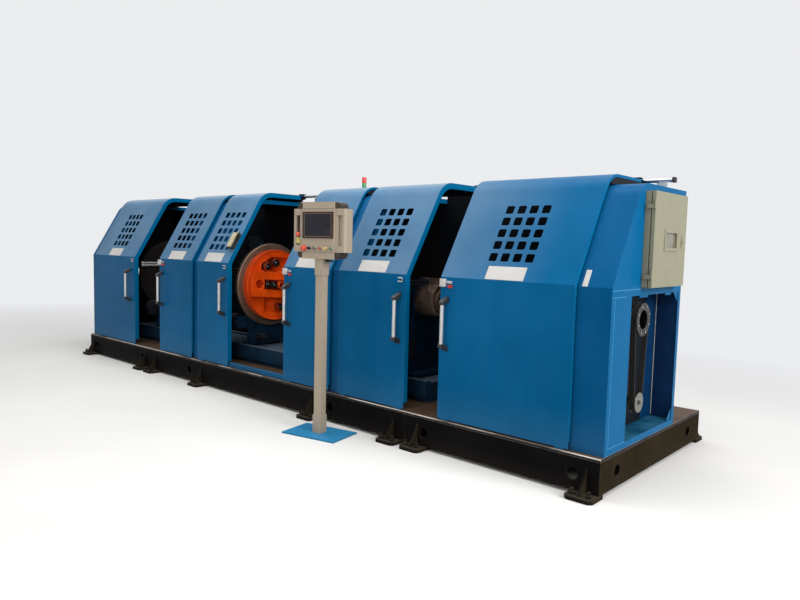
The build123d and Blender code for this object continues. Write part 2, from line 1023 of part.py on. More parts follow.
head_2_nose_end = head_2_face - disc_front
heads = ((1, head_1_nose_end, -1), (2, head_2_nose_end, 1), (3, head_3_nose_end, -1))
stand = head_stand()
stands = {1: stand, 2: stand + reel_arm(), 3: stand}
turning_drawings = {
    "head_wheel": head_wheel(), "head_disc": head_disc(), "head_rollers": head_rollers(),
}
motors = []
for number, nose_end, direction in heads:
    save(f"head_stand_{number}", set_in_place(stands[number], nose_end, direction))
    for name, drawing in turning_drawings.items():
        save(f"{name}_{number}", set_in_place(drawing, nose_end, direction))
    for drawing in (drive_motor(), feed_cylinder()):
        motors.append(set_in_place(drawing, nose_end, direction))
save("drive_motors", Compound(motors))
save("tape_reel", set_in_place(tape_reel(), head_2_nose_end, 1))


# Belt bay

partition_back = bay_back_face - partition_thickness
bay_floor = block(
    (partition_back, base_length - sheet_thickness), (bay_front - bay_floor_lip, bay_rear + bay_floor_lip),
    (bay_bottom - bay_floor_thickness, bay_bottom),
)
partition = block(
    (partition_back, bay_back_face), (bay_front - bay_floor_lip, bay_rear + bay_floor_lip),
    (bay_bottom - bay_floor_thickness, cabinet_bottom),
)
partition -= bar_x(
    upper_pulley_bore, partition_back - cut_margin, bay_back_face + cut_margin, axis_depth, axis_height,
)
bay_bracket_top = axis_height - upper_bearing_radius - bay_bracket_gap
bay_bracket = block(
    (bay_back_face, bay_back_face + bay_bracket_depth),
    (axis_depth - bay_bracket_half_width, axis_depth + bay_bracket_half_width),
    (bay_bracket_top - bay_bracket_height, bay_bracket_top),
)
save("bay_partition", join([bay_floor, partition, bay_bracket]))
save("bay_screen", block(
    (bay_back_face, base_length - sheet_thickness),
    (bay_rear + screen_setback, bay_rear + screen_setback + screen_thickness), (bay_bottom, bay_top),
))

pulley_back = pulley_face - pulley_width
lower_pulley_z = axis_height - pulley_centre_distance
bearing_end = bay_back_face + bearing_depth
upper_bearing = bar_x(upper_bearing_radius, bay_back_face, bearing_end, axis_depth, axis_height)
upper_bearing -= bar_x(
    upper_hub_radius + bearing_clearance, bay_back_face - cut_margin, bearing_end + cut_margin,
    axis_depth, axis_height,
)
lower_bearing = bar_x(lower_boss_radius, bay_back_face, bearing_end, axis_depth, lower_pulley_z)
lower_bearing += bar_x(
    lower_shaft_radius, bay_back_face, pulley_face + pulley_lip, axis_depth, lower_pulley_z,
)
save("pulley_bearings", Compound([upper_bearing, lower_bearing]))


def grooved_rim(radius, z):
    """A pulley rim with its flanges either side of the belt."""
    rim = bar_x(radius, pulley_back, pulley_face, axis_depth, z)
    groove = bar_x(
        radius + cut_margin, pulley_back + pulley_lip, pulley_face - pulley_lip, axis_depth, z,
    )
    core = bar_x(radius - pulley_flange, pulley_back, pulley_face, axis_depth, z)
    return rim - (groove - core)


upper_pulley = grooved_rim(upper_pulley_radius, axis_height)
upper_pulley += bar_x(
    upper_hub_radius, bay_back_face + pulley_lip, pulley_face, axis_depth, axis_height,
)
upper_pulley -= bar_x(
    upper_pulley_bore, bay_back_face, pulley_face + cut_margin, axis_depth, axis_height,
)
save("upper_pulley", upper_pulley)
lower_pulley = grooved_rim(lower_pulley_radius, lower_pulley_z)
lower_pulley -= bar_x(
    lower_shaft_radius + bearing_clearance, bay_back_face, pulley_face + cut_margin, axis_depth,
    lower_pulley_z,
)
save("lower_pulley", lower_pulley)


def belt_loop(outward):
    """The closed path round both pulleys as a face, moved outwards by the given amount."""
    upper = upper_pulley_radius - pulley_flange + belt_clearance
    lower = lower_pulley_radius - pulley_flange + belt_clearance
    slope = math.asin((upper - lower) / pulley_centre_distance)
    corners = []
    for radius, z in ((upper + outward, axis_height), (lower + outward, lower_pulley_z)):
        corners.append((radius * math.cos(slope), z - radius * math.sin(slope)))
    (upper_y, upper_z), (lower_y, lower_z) = corners
    crown = (axis_depth, axis_height + upper + outward)
    keel = (axis_depth, lower_pulley_z - lower - outward)
    upper_right = (axis_depth + upper_y, upper_z)
    lower_right = (axis_depth + lower_y, lower_z)
    lower_left = (axis_depth - lower_y, lower_z)
    upper_left = (axis_depth - upper_y, upper_z)
    return make_face([
        ThreePointArc(upper_left, crown, upper_right), Line(upper_right, lower_right),
        ThreePointArc(lower_right, keel, lower_left), Line(lower_left, upper_left),
    ])


belt_start = (pulley_back + pulley_face - belt_width) / 2
belt_section = belt_loop(belt_thickness) - belt_loop(0)
save("belt", extrude(Plane.YZ.offset(belt_start) * belt_section, amount=belt_width))


# Cabinet


cabinet_back = base_length + cabinet_proud - cabinet_depth
cabinet_mouth = base_length + cabinet_proud
cabinet = block((cabinet_back, cabinet_mouth), cabinet_y, cabinet_z)
cabinet -= block(
    (cabinet_back + cabinet_wall, cabinet_mouth + cut_margin),
    (cabinet_y[0] + cabinet_wall, cabinet_y[1] - cabinet_wall),
    (cabinet_z[0] + cabinet_wall, cabinet_z[1] - cabinet_wall),
)
door_back = cabinet_mouth + door_gap
door_face = door_back + door_thickness
hinge_y = cabinet_front - hinge_setback
hinge_places = (cabinet_z[0] + hinge_inset, cabinet_z[1] - hinge_inset)
for z in hinge_places:
    low = z - hinge_barrel_length
    cabinet += block((cabinet_mouth - hinge_leaf, cabinet_mouth), (hinge_y, cabinet_front), (low, z))
    cabinet += block(
        (cabinet_mouth - hinge_leaf, door_face),
        (hinge_y - hinge_leaf_thickness / 2, hinge_y + hinge_leaf_thickness / 2), (low, z),
    )
    cabinet += bar_z(hinge_barrel_radius, low, z, door_face, hinge_y)
    cabinet += bar_z(hinge_pin_radius, low, z + hinge_barrel_length, door_face, hinge_y)
save("cabinet_box", cabinet)

window_y = (cabinet_front + window_left, cabinet_front + window_left + window_width)
window_z = (cabinet_bottom + window_bottom, cabinet_bottom + window_bottom + window_height)
pane_y = (window_y[0] + window_frame, window_y[1] - window_frame)
pane_z = (window_z[0] + window_frame, window_z[1] - window_frame)
door = block((door_back, door_face), cabinet_y, cabinet_z)
door += block((door_face, door_face + window_frame_proud), window_y, window_z)
door -= block((door_back - cut_margin, door_face + window_frame_proud + cut_margin), pane_y, pane_z)
door += bar_x(
    lock_radius, door_face, door_face + lock_proud, cabinet_y[1] - lock_setback,
    cabinet_bottom + lock_rise,
)
for z in hinge_places:
    low = z + hinge_gap
    high = z + hinge_barrel_length
    door += bar_z(hinge_barrel_radius, low, high, door_face, hinge_y)
    door += block(
        (door_face - hinge_barrel_radius, door_face), (hinge_y, cabinet_front + cut_margin), (low, high),
    )
    door -= bar_z(
        hinge_pin_radius + bearing_clearance, low - cut_margin, high + cut_margin, door_face, hinge_y,
    )
save("cabinet_door", door)
glass_middle = (door_back + door_face) / 2
save("door_window", block(
    (glass_middle - glass_thickness / 2, glass_middle + glass_thickness / 2), pane_y, pane_z,
))


# Warning light

light_x = base_length - light_inset
light_y = wall_y[1] + light_out
lamp_bottom = light_top - 2 * light_segment_height
light_arm = block(
    (light_x - light_radius, light_x + light_radius), (wall_y[1], light_y + light_radius),
    (housing_top - sheet_thickness, housing_top),
)
save("warning_light", join([
    light_arm, bar_z(light_pole_radius, housing_top - cut_margin, lamp_bottom, light_x, light_y),
    bar_z(light_radius, lamp_bottom, light_top, light_x, light_y),
]))


# Control pendant, drawn upright at the origin and set in its place

pendant_place = Pos(base_length - pendant_inset, pendant_y, 0) * Rot(0, 0, pendant_turn)


def upright(size, low, high):
    """A square upright centred on the pendant's own axis."""
    return block((-size / 2, size / 2), (-size / 2, size / 2), (low, high))


save("pendant_plate", pendant_place * block(
    (-pendant_plate_length / 2, pendant_plate_length / 2),
    (-pendant_plate_width / 2, pendant_plate_width / 2), (0, pendant_plate_thickness),
))
save("pendant_post", pendant_place * join([
    upright(post_size, pendant_plate_thickness, post_height),
    upright(sleeve_size, pendant_plate_thickness, pendant_plate_thickness + lower_sleeve_height),
    upright(sleeve_size, post_height - upper_sleeve_height, post_height),
]))

panel_bottom = post_height + panel_cap_height
panel_top = panel_bottom + panel_height
panel_middle = (panel_bottom + panel_top) / 2
panel_front = -panel_depth / 2
side_front = panel_front + side_profile_drop
profile_out = panel_width / 2 + side_profile_width


def panel_core():
    """The middle of the panel with its caps above and below."""
    return block(
        (-panel_width / 2, panel_width / 2), (panel_front, -panel_front),
        (post_height, panel_top + panel_cap_height),
    )


def corner_block():
    """The moulded corner between the upper cap and the right profile."""
    low = panel_width / 2
    corner = block(
        (low, low + corner_block_width), (side_front, -panel_front),
        (panel_top, panel_top + corner_block_height),
    )
    outer_edge = corner.edges().filter_by(Axis.Y).group_by(Axis.X)[-1].sort_by(Axis.Z)[-1]
    return fillet(outer_edge, corner_block_round)


def side_profile():
    """The grooved profile at the right of the panel, with a corner block at each end."""
    profile = block(
        (panel_width / 2, profile_out), (side_front, -panel_front), (panel_bottom, panel_top),
    )
    outer_edges = profile.edges().filter_by(Axis.Z).group_by(Axis.X)[-1]
    profile = fillet(outer_edges, side_profile_corner)
    groove_middle = panel_width / 2 + side_profile_width / 2
    profile -= block(
        (groove_middle - side_groove_width / 2, groove_middle + side_groove_width / 2),
        (side_front - cut_margin, side_front + side_groove_depth),
        (panel_bottom + side_block_height, panel_top - side_block_height),
    )
    for low in (panel_bottom, panel_top - side_block_height):
        profile += block(
            (groove_middle - side_block_width / 2, groove_middle + side_block_width / 2),
            (side_front - side_block_proud, side_front + side_groove_depth),
            (low, low + side_block_height),
        )
    return profile


right_profile = side_profile()
save("pendant_panel", pendant_place * join([
    panel_core(), right_profile, mirror(right_profile, Plane.YZ),
]))
upper_corner = corner_block()
lower_corner = Pos(0, 0, 2 * panel_middle) * mirror(upper_corner, Plane.XY)
right_corners = [upper_corner, lower_corner]
save("pendant_corners", pendant_place * Compound(
    right_corners + [mirror(corner, Plane.YZ) for corner in right_corners]
))
screen_middle = panel_middle + screen_up
bezel = block(
    (-bezel_width / 2, bezel_width / 2), (panel_front - bezel_proud, panel_front),
    (screen_middle - bezel_height / 2, screen_middle + bezel_height / 2),
)
bezel -= block(
    (-screen_width / 2, screen_width / 2),
    (panel_front - bezel_proud - cut_margin, panel_front - bezel_proud + screen_recess),
    (screen_middle - screen_height / 2, screen_middle + screen_height / 2),
)
save("pendant_screen", pendant_place * bezel)
buttons = []
for number in range(button_count):
    radius = stop_button_radius if number == 0 else button_radius
    x = (number - (button_count - 1) / 2) * button_pitch
    buttons.append(bar_y(
        radius, panel_front - button_length, panel_front, x, panel_middle + button_row_up,
    ))
save("pendant_buttons", pendant_place * Compound(buttons))


# Hand control

hand_x = hood_c_start + hood_c_width - hand_box_inset
hand_place = on_panel(hand_x, hand_box_up).location * Rot(0, 0, -hand_box_tilt)


def hand_box():
    """The hand control: a rounded box with a slimmer waist, and the gland at its upper end."""
    outline = RectangleRounded(hand_box_width, hand_box_length, hand_box_corner)
    for side in (-1, 1):
        outline -= Pos(side * hand_box_width / 2, 0) * Rectangle(
            2 * hand_box_waist, hand_box_waist_length,
        )
    box = extrude(outline, amount=hand_box_thickness)
    gland = Pos(0, (hand_box_length + hand_gland_length) / 2, hand_box_thickness / 2) * Rot(90, 0, 0)
    return box + gland * Cylinder(hand_gland_radius, hand_gland_length)


save("hand_box", hand_place * hand_box())
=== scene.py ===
import math

import bmesh
import bpy
from mathutils import Matrix, Vector


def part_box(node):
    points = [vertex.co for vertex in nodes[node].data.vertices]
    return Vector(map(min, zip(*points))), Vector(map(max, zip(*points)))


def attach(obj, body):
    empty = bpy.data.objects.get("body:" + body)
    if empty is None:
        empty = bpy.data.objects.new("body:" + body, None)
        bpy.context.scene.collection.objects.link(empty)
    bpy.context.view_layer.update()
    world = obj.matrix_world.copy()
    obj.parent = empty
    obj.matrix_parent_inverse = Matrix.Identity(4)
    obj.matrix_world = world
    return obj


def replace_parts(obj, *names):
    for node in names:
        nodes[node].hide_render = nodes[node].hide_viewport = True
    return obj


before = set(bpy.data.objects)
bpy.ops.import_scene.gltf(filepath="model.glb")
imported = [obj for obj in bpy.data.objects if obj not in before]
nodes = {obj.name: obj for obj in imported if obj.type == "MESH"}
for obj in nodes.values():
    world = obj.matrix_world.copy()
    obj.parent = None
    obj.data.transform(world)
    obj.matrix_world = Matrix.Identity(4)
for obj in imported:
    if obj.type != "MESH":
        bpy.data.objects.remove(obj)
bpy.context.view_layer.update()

# Metres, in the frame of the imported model: X along the machine, Y to the rear, Z up.

# Camera at the photograph's place
camera_place = Vector((8.4266, -3.5797, 1.4554))
camera_turn = math.radians(41.92)
camera_down = math.radians(4.76)
camera_roll = math.radians(1.43)
camera_lens = 29.9
sensor_width = 36.0

# Places on the covers, as the model has them
cover_lean = math.radians(30)
hood_front = 0.012
hood_break = 1.242
housing_front = 0.044
housing_break = 1.237
handle_middle = 0.920
handle_grip_half = 0.133
machine_middle_y = 0.60
machine_middle_z = 0.95
axis_y = 0.568
axis_z = 1.02
end_face = 6.8
sky_tint = (0.03, 0.46, 0.95)
perforation_pitch = 0.012

# Pendant, turned towards the right end, and its own heights
pendant_x = 4.655
pendant_y = -0.265
pendant_turn = math.radians(12)
panel_front = -0.055
groove_floor = -0.027
groove_x = 0.1925
panel_bottom_z = 1.385
panel_top_z = 1.705
screen_middle_z = 1.585
button_z = 1.413
button_pitch = 0.05
button_face = -0.077
button_colours = (
    (0.010, 0.009, 0.009), (0.13, 0.115, 0.095), (0.34, 0.10, 0.065), (0.52, 0.36, 0.12),
    (0.10, 0.17, 0.10),
)


# Camera


def aim_camera():
    """A camera at the photograph's place, with its turn, tilt and roll."""
    forward = Vector((
        -math.sin(camera_turn) * math.cos(camera_down),
        math.cos(camera_turn) * math.cos(camera_down),
        -math.sin(camera_down),
    ))
    level = Vector((math.cos(camera_turn), math.sin(camera_turn), 0))
    upright = level.cross(forward)
    right = math.cos(camera_roll) * level + math.sin(camera_roll) * upright
    up = math.cos(camera_roll) * upright - math.sin(camera_roll) * level
    data = bpy.data.cameras.new("camera")
    data.lens = camera_lens
    data.sensor_width = sensor_width
    data.clip_end = 200
    camera = bpy.data.objects.new("camera", data)
    bpy.context.scene.collection.objects.link(camera)
    turn = Matrix((right, up, -forward)).transposed()
    camera.matrix_world = Matrix.Translation(camera_place) @ turn.to_4x4()
    bpy.context.scene.camera = camera


aim_camera()


# Materials


class Finish:
    """A node material and the few steps that all of them are made from."""

    def __init__(self, name):
        self.material = bpy.data.materials.new(name)
        self.material.use_nodes = True
        self.tree = self.material.node_tree
        self.shader = self.tree.nodes["Principled BSDF"]
        self.place = self.add("ShaderNodeTexCoord").outputs["Object"]
        self.geometry = self.add("ShaderNodeNewGeometry")

    def add(self, kind, **settings):
        """A new node with its settings."""
        node = self.tree.nodes.new(kind)
        for key, value in settings.items():
            setattr(node, key, value)
        return node

    def feed(self, socket, value):
        """Links an output to a socket, or sets the socket to a plain value."""
        if isinstance(value, bpy.types.NodeSocket):
            self.tree.links.new(value, socket)
        elif socket.type == "RGBA" and len(value) == 3:
            socket.default_value = (*value, 1)
        else:
            socket.default_value = value

    def set(self, **values):
        """Sets or links the shader's own sockets, with _ for a space, and gives the material back."""
        for key, value in values.items():
            self.feed(self.shader.inputs[key.replace("_", " ")], value)
        return self.material

    def maths(self, operation, first, second=0.0, third=0.0):
        """One sum of numbers."""
        node = self.add("ShaderNodeMath", operation=operation)
        for socket, value in zip(node.inputs, (first, second, third)):
            self.feed(socket, value)
        return node.outputs[0]

    def times(self, first, second):
        """The product of two numbers."""
        return self.maths("MULTIPLY", first, second)

    def length(self, out, up):
        """The length of two steps at right angles."""
        return self.maths("SQRT", self.maths("ADD", self.times(out, out), self.times(up, up)))

    def vector(self, operation, first, second):
        """One sum of vectors."""
        node = self.add("ShaderNodeVectorMath", operation=operation)
        self.feed(node.inputs[0], first)
        self.feed(node.inputs[1], second)
        return node.outputs["Value" if operation == "DOT_PRODUCT" else "Vector"]

    def spread(self, value, low, high, to_low=0.0, to_high=1.0):
        """The value carried from one range to another, kept inside it."""
        node = self.add("ShaderNodeMapRange", clamp=True)
        for key, item in (
            ("Value", value), ("From Min", low), ("From Max", high), ("To Min", to_low),
            ("To Max", to_high),
        ):
            self.feed(node.inputs[key], item)
        return node.outputs["Result"]

    def noise(self, scale, detail=3.0, rough=0.55, stretch=None):
        """Cloudy variation from 0 to 1, stretched where a stretch is given."""
        node = self.add("ShaderNodeTexNoise")
        place = self.vector("MULTIPLY", self.place, stretch) if stretch else self.place
        self.feed(node.inputs["Vector"], place)
        node.inputs["Scale"].default_value = scale
        node.inputs["Detail"].default_value = detail
        node.inputs["Roughness"].default_value = rough
        return node.outputs["Fac"]

    def mix(self, factor, first, second):
        """One colour blended into another."""
        node = self.add("ShaderNodeMix", data_type="RGBA")
        self.feed(node.inputs[0], factor)
        self.feed(node.inputs[6], first)
        self.feed(node.inputs[7], second)
        return node.outputs[2]

    def between(self, value, low, high):
        """1 where a value lies between two limits and 0 elsewhere."""
        above = self.maths("GREATER_THAN", value, low)
        return self.times(above, self.maths("LESS_THAN", value, high))

    def all_of(self, *masks):
        """1 where all masks are 1."""
        whole = masks[0]
        for mask in masks[1:]:
            whole = self.times(whole, mask)
        return whole

    def from_axis(self):
        """The distance from the machine's axis."""
        out = self.maths("SUBTRACT", self.axis("Y"), axis_y)
        return self.length(out, self.maths("SUBTRACT", self.axis("Z"), axis_z))

    def axis(self, letter, source=None):
        """X, Y or Z of the place or of another vector."""
        node = self.add("ShaderNodeSeparateXYZ")
        self.feed(node.inputs[0], source or self.place)
        return node.outputs[letter]

    def normal(self):
        """The surface's own direction."""
        return self.geometry.outputs["Normal"]

    def bevel(self, radius):
        """The surface's direction with its edges rounded."""
        node = self.add("ShaderNodeBevel", samples=4)
        node.inputs["Radius"].default_value = radius
        return node.outputs[0]

    def edges(self, rounded):
        """1 along sharp edges and 0 on flat faces."""
        alike = self.vector("DOT_PRODUCT", rounded, self.normal())
        return self.spread(alike, 0.90, 0.995, 1.0, 0.0)

    def bump(self, height, strength, distance, normal=None):
        """Raises the surface by a height map."""
        node = self.add("ShaderNodeBump")
        node.inputs["Strength"].default_value = strength
        node.inputs["Distance"].default_value = distance
        self.feed(node.inputs["Height"], height)
        if normal is not None:
            self.feed(node.inputs["Normal"], normal)
        return node.outputs[0]

    def upward(self):
        """1 on faces that look up and 0 on the others."""
        return self.spread(self.axis("Z", self.normal()), 0.6, 0.95)

    def inward(self):
        """1 on the inner side of a cover and 0 on its outer side."""
        away = self.vector("SUBTRACT", self.place, (0, machine_middle_y, machine_middle_z))
        across = self.vector("MULTIPLY", away, (0, 1, 1))
        outward = self.vector("DOT_PRODUCT", across, self.normal())
        return self.spread(outward, -0.12, -0.08, 1.0, 0.0)


def shaded(colour, share, lift=0.0):
    """A colour made darker or paler."""
    return tuple(part * share + lift for part in colour)


# Places on the covers: where the pale dust and painted sheen thin out along them, on leaning faces and
# on bends, and the height up to which dust lies
dust_and_sheen_end = (5.5, 6.4)
bend_sheen_end = (5.2, 5.6)
low_dust = (0.25, 0.5)

# Places of the covers painted black as shade: a hood's rear flange, the hangers behind it, the left end
# wall's inner face
flange_y = (0.885, 0.9355)
flange_z = (1.86, 1.9335)
hanger_y = (0.9355, 1.1)
hanger_z = (1.86, 2.0)
left_wall_inside = (0.0015, 0.43)


def sheet_paint(name, colour, dust_and_sheen_share, bend_sheen_share=0.0, hung=False):
    """Painted sheet: faint clouds, pale dust and painted sheen on leaning faces, painted sheen on bends,
    worn edges with a painted highlight, painted shade inside, end faces painted brighter.
    """
    f = Finish(name)
    rounded = f.bevel(0.004)
    clouds = f.spread(f.noise(1.1, 4), 0.35, 0.65)
    streaks = f.spread(f.noise(1.0, 5, 0.6, (9, 9, 0.9)), 0.42, 0.72)
    fine = f.noise(55, 4, 0.7)
    pale = (0.38, 0.45, 0.46)
    paint = f.mix(clouds, shaded(colour, 0.86), shaded(colour, 1.12, 0.003))
    tilt = f.axis("Z", f.normal())
    # Pale dust and a painted sheen on leaning faces, thinning out towards the right end
    leaning = f.spread(tilt, 0.05, 0.5, 0.0, dust_and_sheen_share)
    dust_and_sheen = f.times(leaning, f.spread(f.noise(1.6, 5, 0.6), 0.3, 0.7, 0.7, 1.3))
    dust_and_sheen = f.times(dust_and_sheen, f.spread(f.axis("X"), *dust_and_sheen_end, 1.0, 0.0))
    # Painted sheen on the rounded bends, mostly gone towards the right end
    bend_sheen = f.spread(tilt, 0.6, 0.9, 0.0, bend_sheen_share)
    bend_sheen = f.times(bend_sheen, f.spread(f.axis("X"), *bend_sheen_end, 1.0, 0.15))
    paint = f.mix(f.maths("MAXIMUM", dust_and_sheen, bend_sheen), paint, pale)
    paint = f.mix(f.times(streaks, 0.006), paint, pale)
    low = f.spread(f.axis("Z"), *low_dust, 0.06, 0.0)
    paint = f.mix(f.times(low, fine), paint, pale)
    # Edges painted paler: worn paint and a painted highlight
    worn = f.times(f.edges(rounded), f.spread(f.noise(18, 4), 0.36, 0.6, 0.25, 0.7))
    paint = f.mix(worn, paint, shaded(colour, 1.9, 0.05))
    inside = f.inward()
    ends = f.maths("GREATER_THAN", f.maths("ABSOLUTE", f.axis("X", f.normal())), 0.9)
    red, green, blue = colour
    # End faces painted brighter and bluer, standing in for the light that falls on them
    paint = f.mix(ends, paint, (red, green * 1.14, blue * 1.06))
    if hung:
        back = f.axis("Y")
        height = f.axis("Z")
        under = f.all_of(f.between(back, *flange_y), f.between(height, *flange_z))
        behind = f.all_of(f.between(back, *hanger_y), f.between(height, *hanger_z))
        inside = f.maths("MAXIMUM", inside, f.maths("ADD", under, behind))
    else:
        wall = f.all_of(ends, f.between(f.axis("X"), *left_wall_inside))
        inside = f.maths("MAXIMUM", inside, wall)
    # Painted shade: near black on the inner sides, a hood's rear flange and hangers, and the left end
    # wall's inner face
    paint = f.mix(inside, paint, (0.006, 0.0065, 0.0075))
    rough = f.spread(f.noise(7, 4), 0.3, 0.7, 0.28, 0.42)
    rough = f.maths("MAXIMUM", rough, f.times(inside, 0.85))
    peel = f.maths("ADD", f.noise(420, 2), f.times(f.noise(9, 2), 1.6))
    f.set(Base_Color=paint, Roughness=rough, Specular_Tint=sky_tint)
    f.set(Specular_IOR_Level=f.spread(ends, 0, 1, 0.06, 0.03))
    return f.set(Normal=f.bump(peel, 0.10, 0.0009, rounded))


def oily_paint(name, colour, dirt, top=None):
    """Painted castings and frames near the heads, with grease, worn corners and paler tops."""
    f = Finish(name)
    rounded = f.bevel(0.003)
    grease = f.spread(f.noise(6, 5, 0.65), 0.45, 0.68)
    fine = f.noise(80, 4, 0.7)
    paint = f.mix(f.spread(f.noise(2.2, 4), 0.35, 0.65), shaded(colour, 0.8), colour)
    paint = f.mix(f.times(grease, 0.45), paint, dirt)
    # Faces that look up are made paler
    pale_tops = f.times(f.upward(), f.spread(fine, 0.35, 0.65, 0.35, 0.9))
    paint = f.mix(pale_tops, paint, top or shaded(colour, 1.5, 0.02))
    worn = f.times(f.edges(rounded), f.spread(f.noise(22, 4), 0.42, 0.6, 0.2, 0.7))
    paint = f.mix(worn, paint, shaded(colour, 1.5, 0.03))
    f.set(Base_Color=paint, Roughness=f.spread(grease, 0, 1, 0.5, 0.3))
    f.set(Specular_IOR_Level=0.18, Specular_Tint=sky_tint)
    return f.set(Normal=f.bump(f.noise(140, 4), 0.16, 0.0012, rounded))


# Bare places of a head's stand: the nose round the axis, the block above it, the rods before the block
nose_radius = 0.1305
block_y = (0.527, 0.609)
block_z = (1.12, 1.20)
rods_y = (0.1, 0.438)
first_head_end = 1.3


def stand_finish():
    """Blue casting of a head's stand, bare brown nose and block, bright rods on the first head."""
    f = Finish("stand_finish")
    rounded = f.bevel(0.003)
    grease = f.spread(f.noise(6, 5, 0.65), 0.45, 0.68)
    marks = f.noise(60, 4, 0.7, (5, 1, 1))
    blue = f.mix(grease, (0.004, 0.022, 0.050), (0.002, 0.005, 0.009))
    steel = f.mix(f.spread(marks, 0.3, 0.7), (0.30, 0.20, 0.15), (0.50, 0.36, 0.28))
    steel = f.mix(f.times(grease, 0.6), steel, (0.05, 0.033, 0.024))
    bright = f.mix(f.spread(marks, 0.3, 0.7), (0.48,) * 3, (0.72,) * 3)
    raised = f.between(f.axis("Z"), *block_z)
    nose = f.maths("LESS_THAN", f.from_axis(), nose_radius)
    nose = f.maths("MAXIMUM", nose, f.all_of(f.between(f.axis("Y"), *block_y), raised))
    rods = f.all_of(f.between(f.axis("Y"), *rods_y), raised)
    first = f.maths("LESS_THAN", f.axis("X"), first_head_end)
    paint = f.mix(rods, f.mix(nose, blue, steel), f.mix(first, (0.006, 0.006, 0.007), bright))
    rods = f.times(rods, first)
    bare = f.maths("MAXIMUM", nose, rods)
    f.set(Base_Color=paint, Metallic=f.times(bare, 0.8))
    rough = f.maths("SUBTRACT", f.spread(grease, 0, 1, 0.48, 0.34), f.times(rods, 0.16))
    f.set(Roughness=rough, Specular_IOR_Level=0.2)
    return f.set(Normal=f.bump(f.noise(140, 4), 0.16, 0.0012, rounded))


# The height up to which dust lies on the pads
pad_dust = (0.02, 0.12)


def frame_black():
    """Black paint of the base, dull brown dust on its end faces and on the pads."""
    f = Finish("frame_black")
    rounded = f.bevel(0.005)
    fine = f.noise(60, 5, 0.7)
    broad = f.noise(3.2, 5, 0.6)
    paint = f.mix(f.spread(broad, 0.35, 0.7), (0.0022, 0.0018, 0.0020), (0.0042, 0.0038, 0.0038))
    dust = (0.06, 0.048, 0.036)
    ends = f.maths("ABSOLUTE", f.axis("X", f.normal()))
    ends = f.times(f.spread(ends, 0.7, 0.95), f.spread(broad, 0.2, 0.8, 0.20, 0.40))
    paint = f.mix(ends, paint, (0.062, 0.046, 0.024))
    low = f.spread(f.axis("Z"), *pad_dust, 0.20, 0.0)
    paint = f.mix(f.times(low, fine), paint, dust)
    paint = f.mix(f.times(f.upward(), f.spread(fine, 0.3, 0.7, 0.25, 0.75)), paint, dust)
    worn = f.times(f.edges(rounded), f.spread(f.noise(14, 5), 0.42, 0.62))
    paint = f.mix(f.times(worn, 0.55), paint, (0.10, 0.085, 0.07))
    f.set(Base_Color=paint, Roughness=f.spread(fine, 0.3, 0.7, 0.5, 0.7))
    f.set(Specular_IOR_Level=f.spread(ends, 0, 0.1, 0.035, 0.0))
    return f.set(Normal=f.bump(f.noise(120, 4), 0.22, 0.0015, rounded))


# The deck's front edge, painted bright as a highlight
rim_depth = 0.006
rim_bottom = 0.239


def deck_steel():
    """Trodden deck plate: brown with scuffs, black on its edge, with a painted highlight along its front
    edge.
    """
    f = Finish("deck_steel")
    rounded = f.bevel(0.004)
    fine = f.noise(90, 5, 0.7)
    stains = f.spread(f.noise(2.6, 6, 0.65), 0.4, 0.7)
    scuffs = f.spread(f.noise(9, 5, 0.7, (0.35, 3.5, 1)), 0.56, 0.68)
    top = f.mix(stains, (0.070, 0.040, 0.022), (0.032, 0.018, 0.011))
    top = f.mix(f.times(scuffs, 0.4), top, (0.15, 0.11, 0.08))
    top = f.mix(f.times(fine, 0.2), top, (0.10, 0.075, 0.055))
    paint = f.mix(f.upward(), (0.006, 0.005, 0.005), top)
    worn = f.times(f.edges(rounded), f.spread(f.noise(8, 5), 0.36, 0.5))
    paint = f.mix(f.times(worn, 0.8), paint, (0.36, 0.33, 0.29))
    in_front = f.maths("LESS_THAN", f.axis("Y"), rim_depth)
    rim = f.all_of(in_front, f.maths("GREATER_THAN", f.axis("Z"), rim_bottom))
    # Painted highlight along the front edge
    rim_highlight = f.spread(f.noise(1.7, 4, 0.6), 0.42, 0.56, 0.1, 0.95)
    paint = f.mix(f.times(rim, rim_highlight), paint, (0.62, 0.58, 0.52))
    f.set(Base_Color=paint, Roughness=f.spread(fine, 0.3, 0.7, 0.42, 0.66), Specular_IOR_Level=0.15)
    return f.set(Normal=f.bump(f.noise(160, 4), 0.2, 0.001, rounded))


# Where the middle head stands along the machine, and the radius outside which the other heads' rings are
# painted dark as shade
middle_head = (2.0, 4.0)
hub_radius = 0.135


def wheel_finish():
    """Brown turned steel of the middle head's ring; the other two rings are painted near black as shade
    outside the hub.
    """
    f = Finish("wheel_finish")
    marks = f.noise(60, 4, 0.7, (5, 0.6, 0.6))
    stain = f.spread(f.noise(7, 5, 0.6), 0.42, 0.7)
    shade = f.mix(f.spread(marks, 0.3, 0.7), (0.19, 0.135, 0.10), (0.27, 0.195, 0.145))
    shade = f.mix(f.times(stain, 0.45), shade, (0.16, 0.10, 0.062))
    middle = f.between(f.axis("X"), *middle_head)
    outside_hub = f.maths("GREATER_THAN", f.from_axis(), hub_radius)
    # Painted shade: the rings of the first and third heads, outside the hub, near black
    outer_rings_shade = f.times(f.maths("SUBTRACT", 1.0, middle), outside_hub)
    shade = f.mix(outer_rings_shade, shade, f.mix(stain, (0.010, 0.008, 0.007), (0.005, 0.004, 0.004)))
    f.set(Base_Color=shade, Metallic=f.times(f.maths("SUBTRACT", 1.0, outer_rings_shade), 0.9))
    rough = f.maths("ADD", f.spread(marks, 0.3, 0.7, 0.48, 0.62), f.times(outer_rings_shade, 0.2))
    f.set(Roughness=rough, Specular_IOR_Level=0.1)
    return f.set(Normal=f.bump(marks, 0.08, 0.0004, f.bevel(0.0015)))


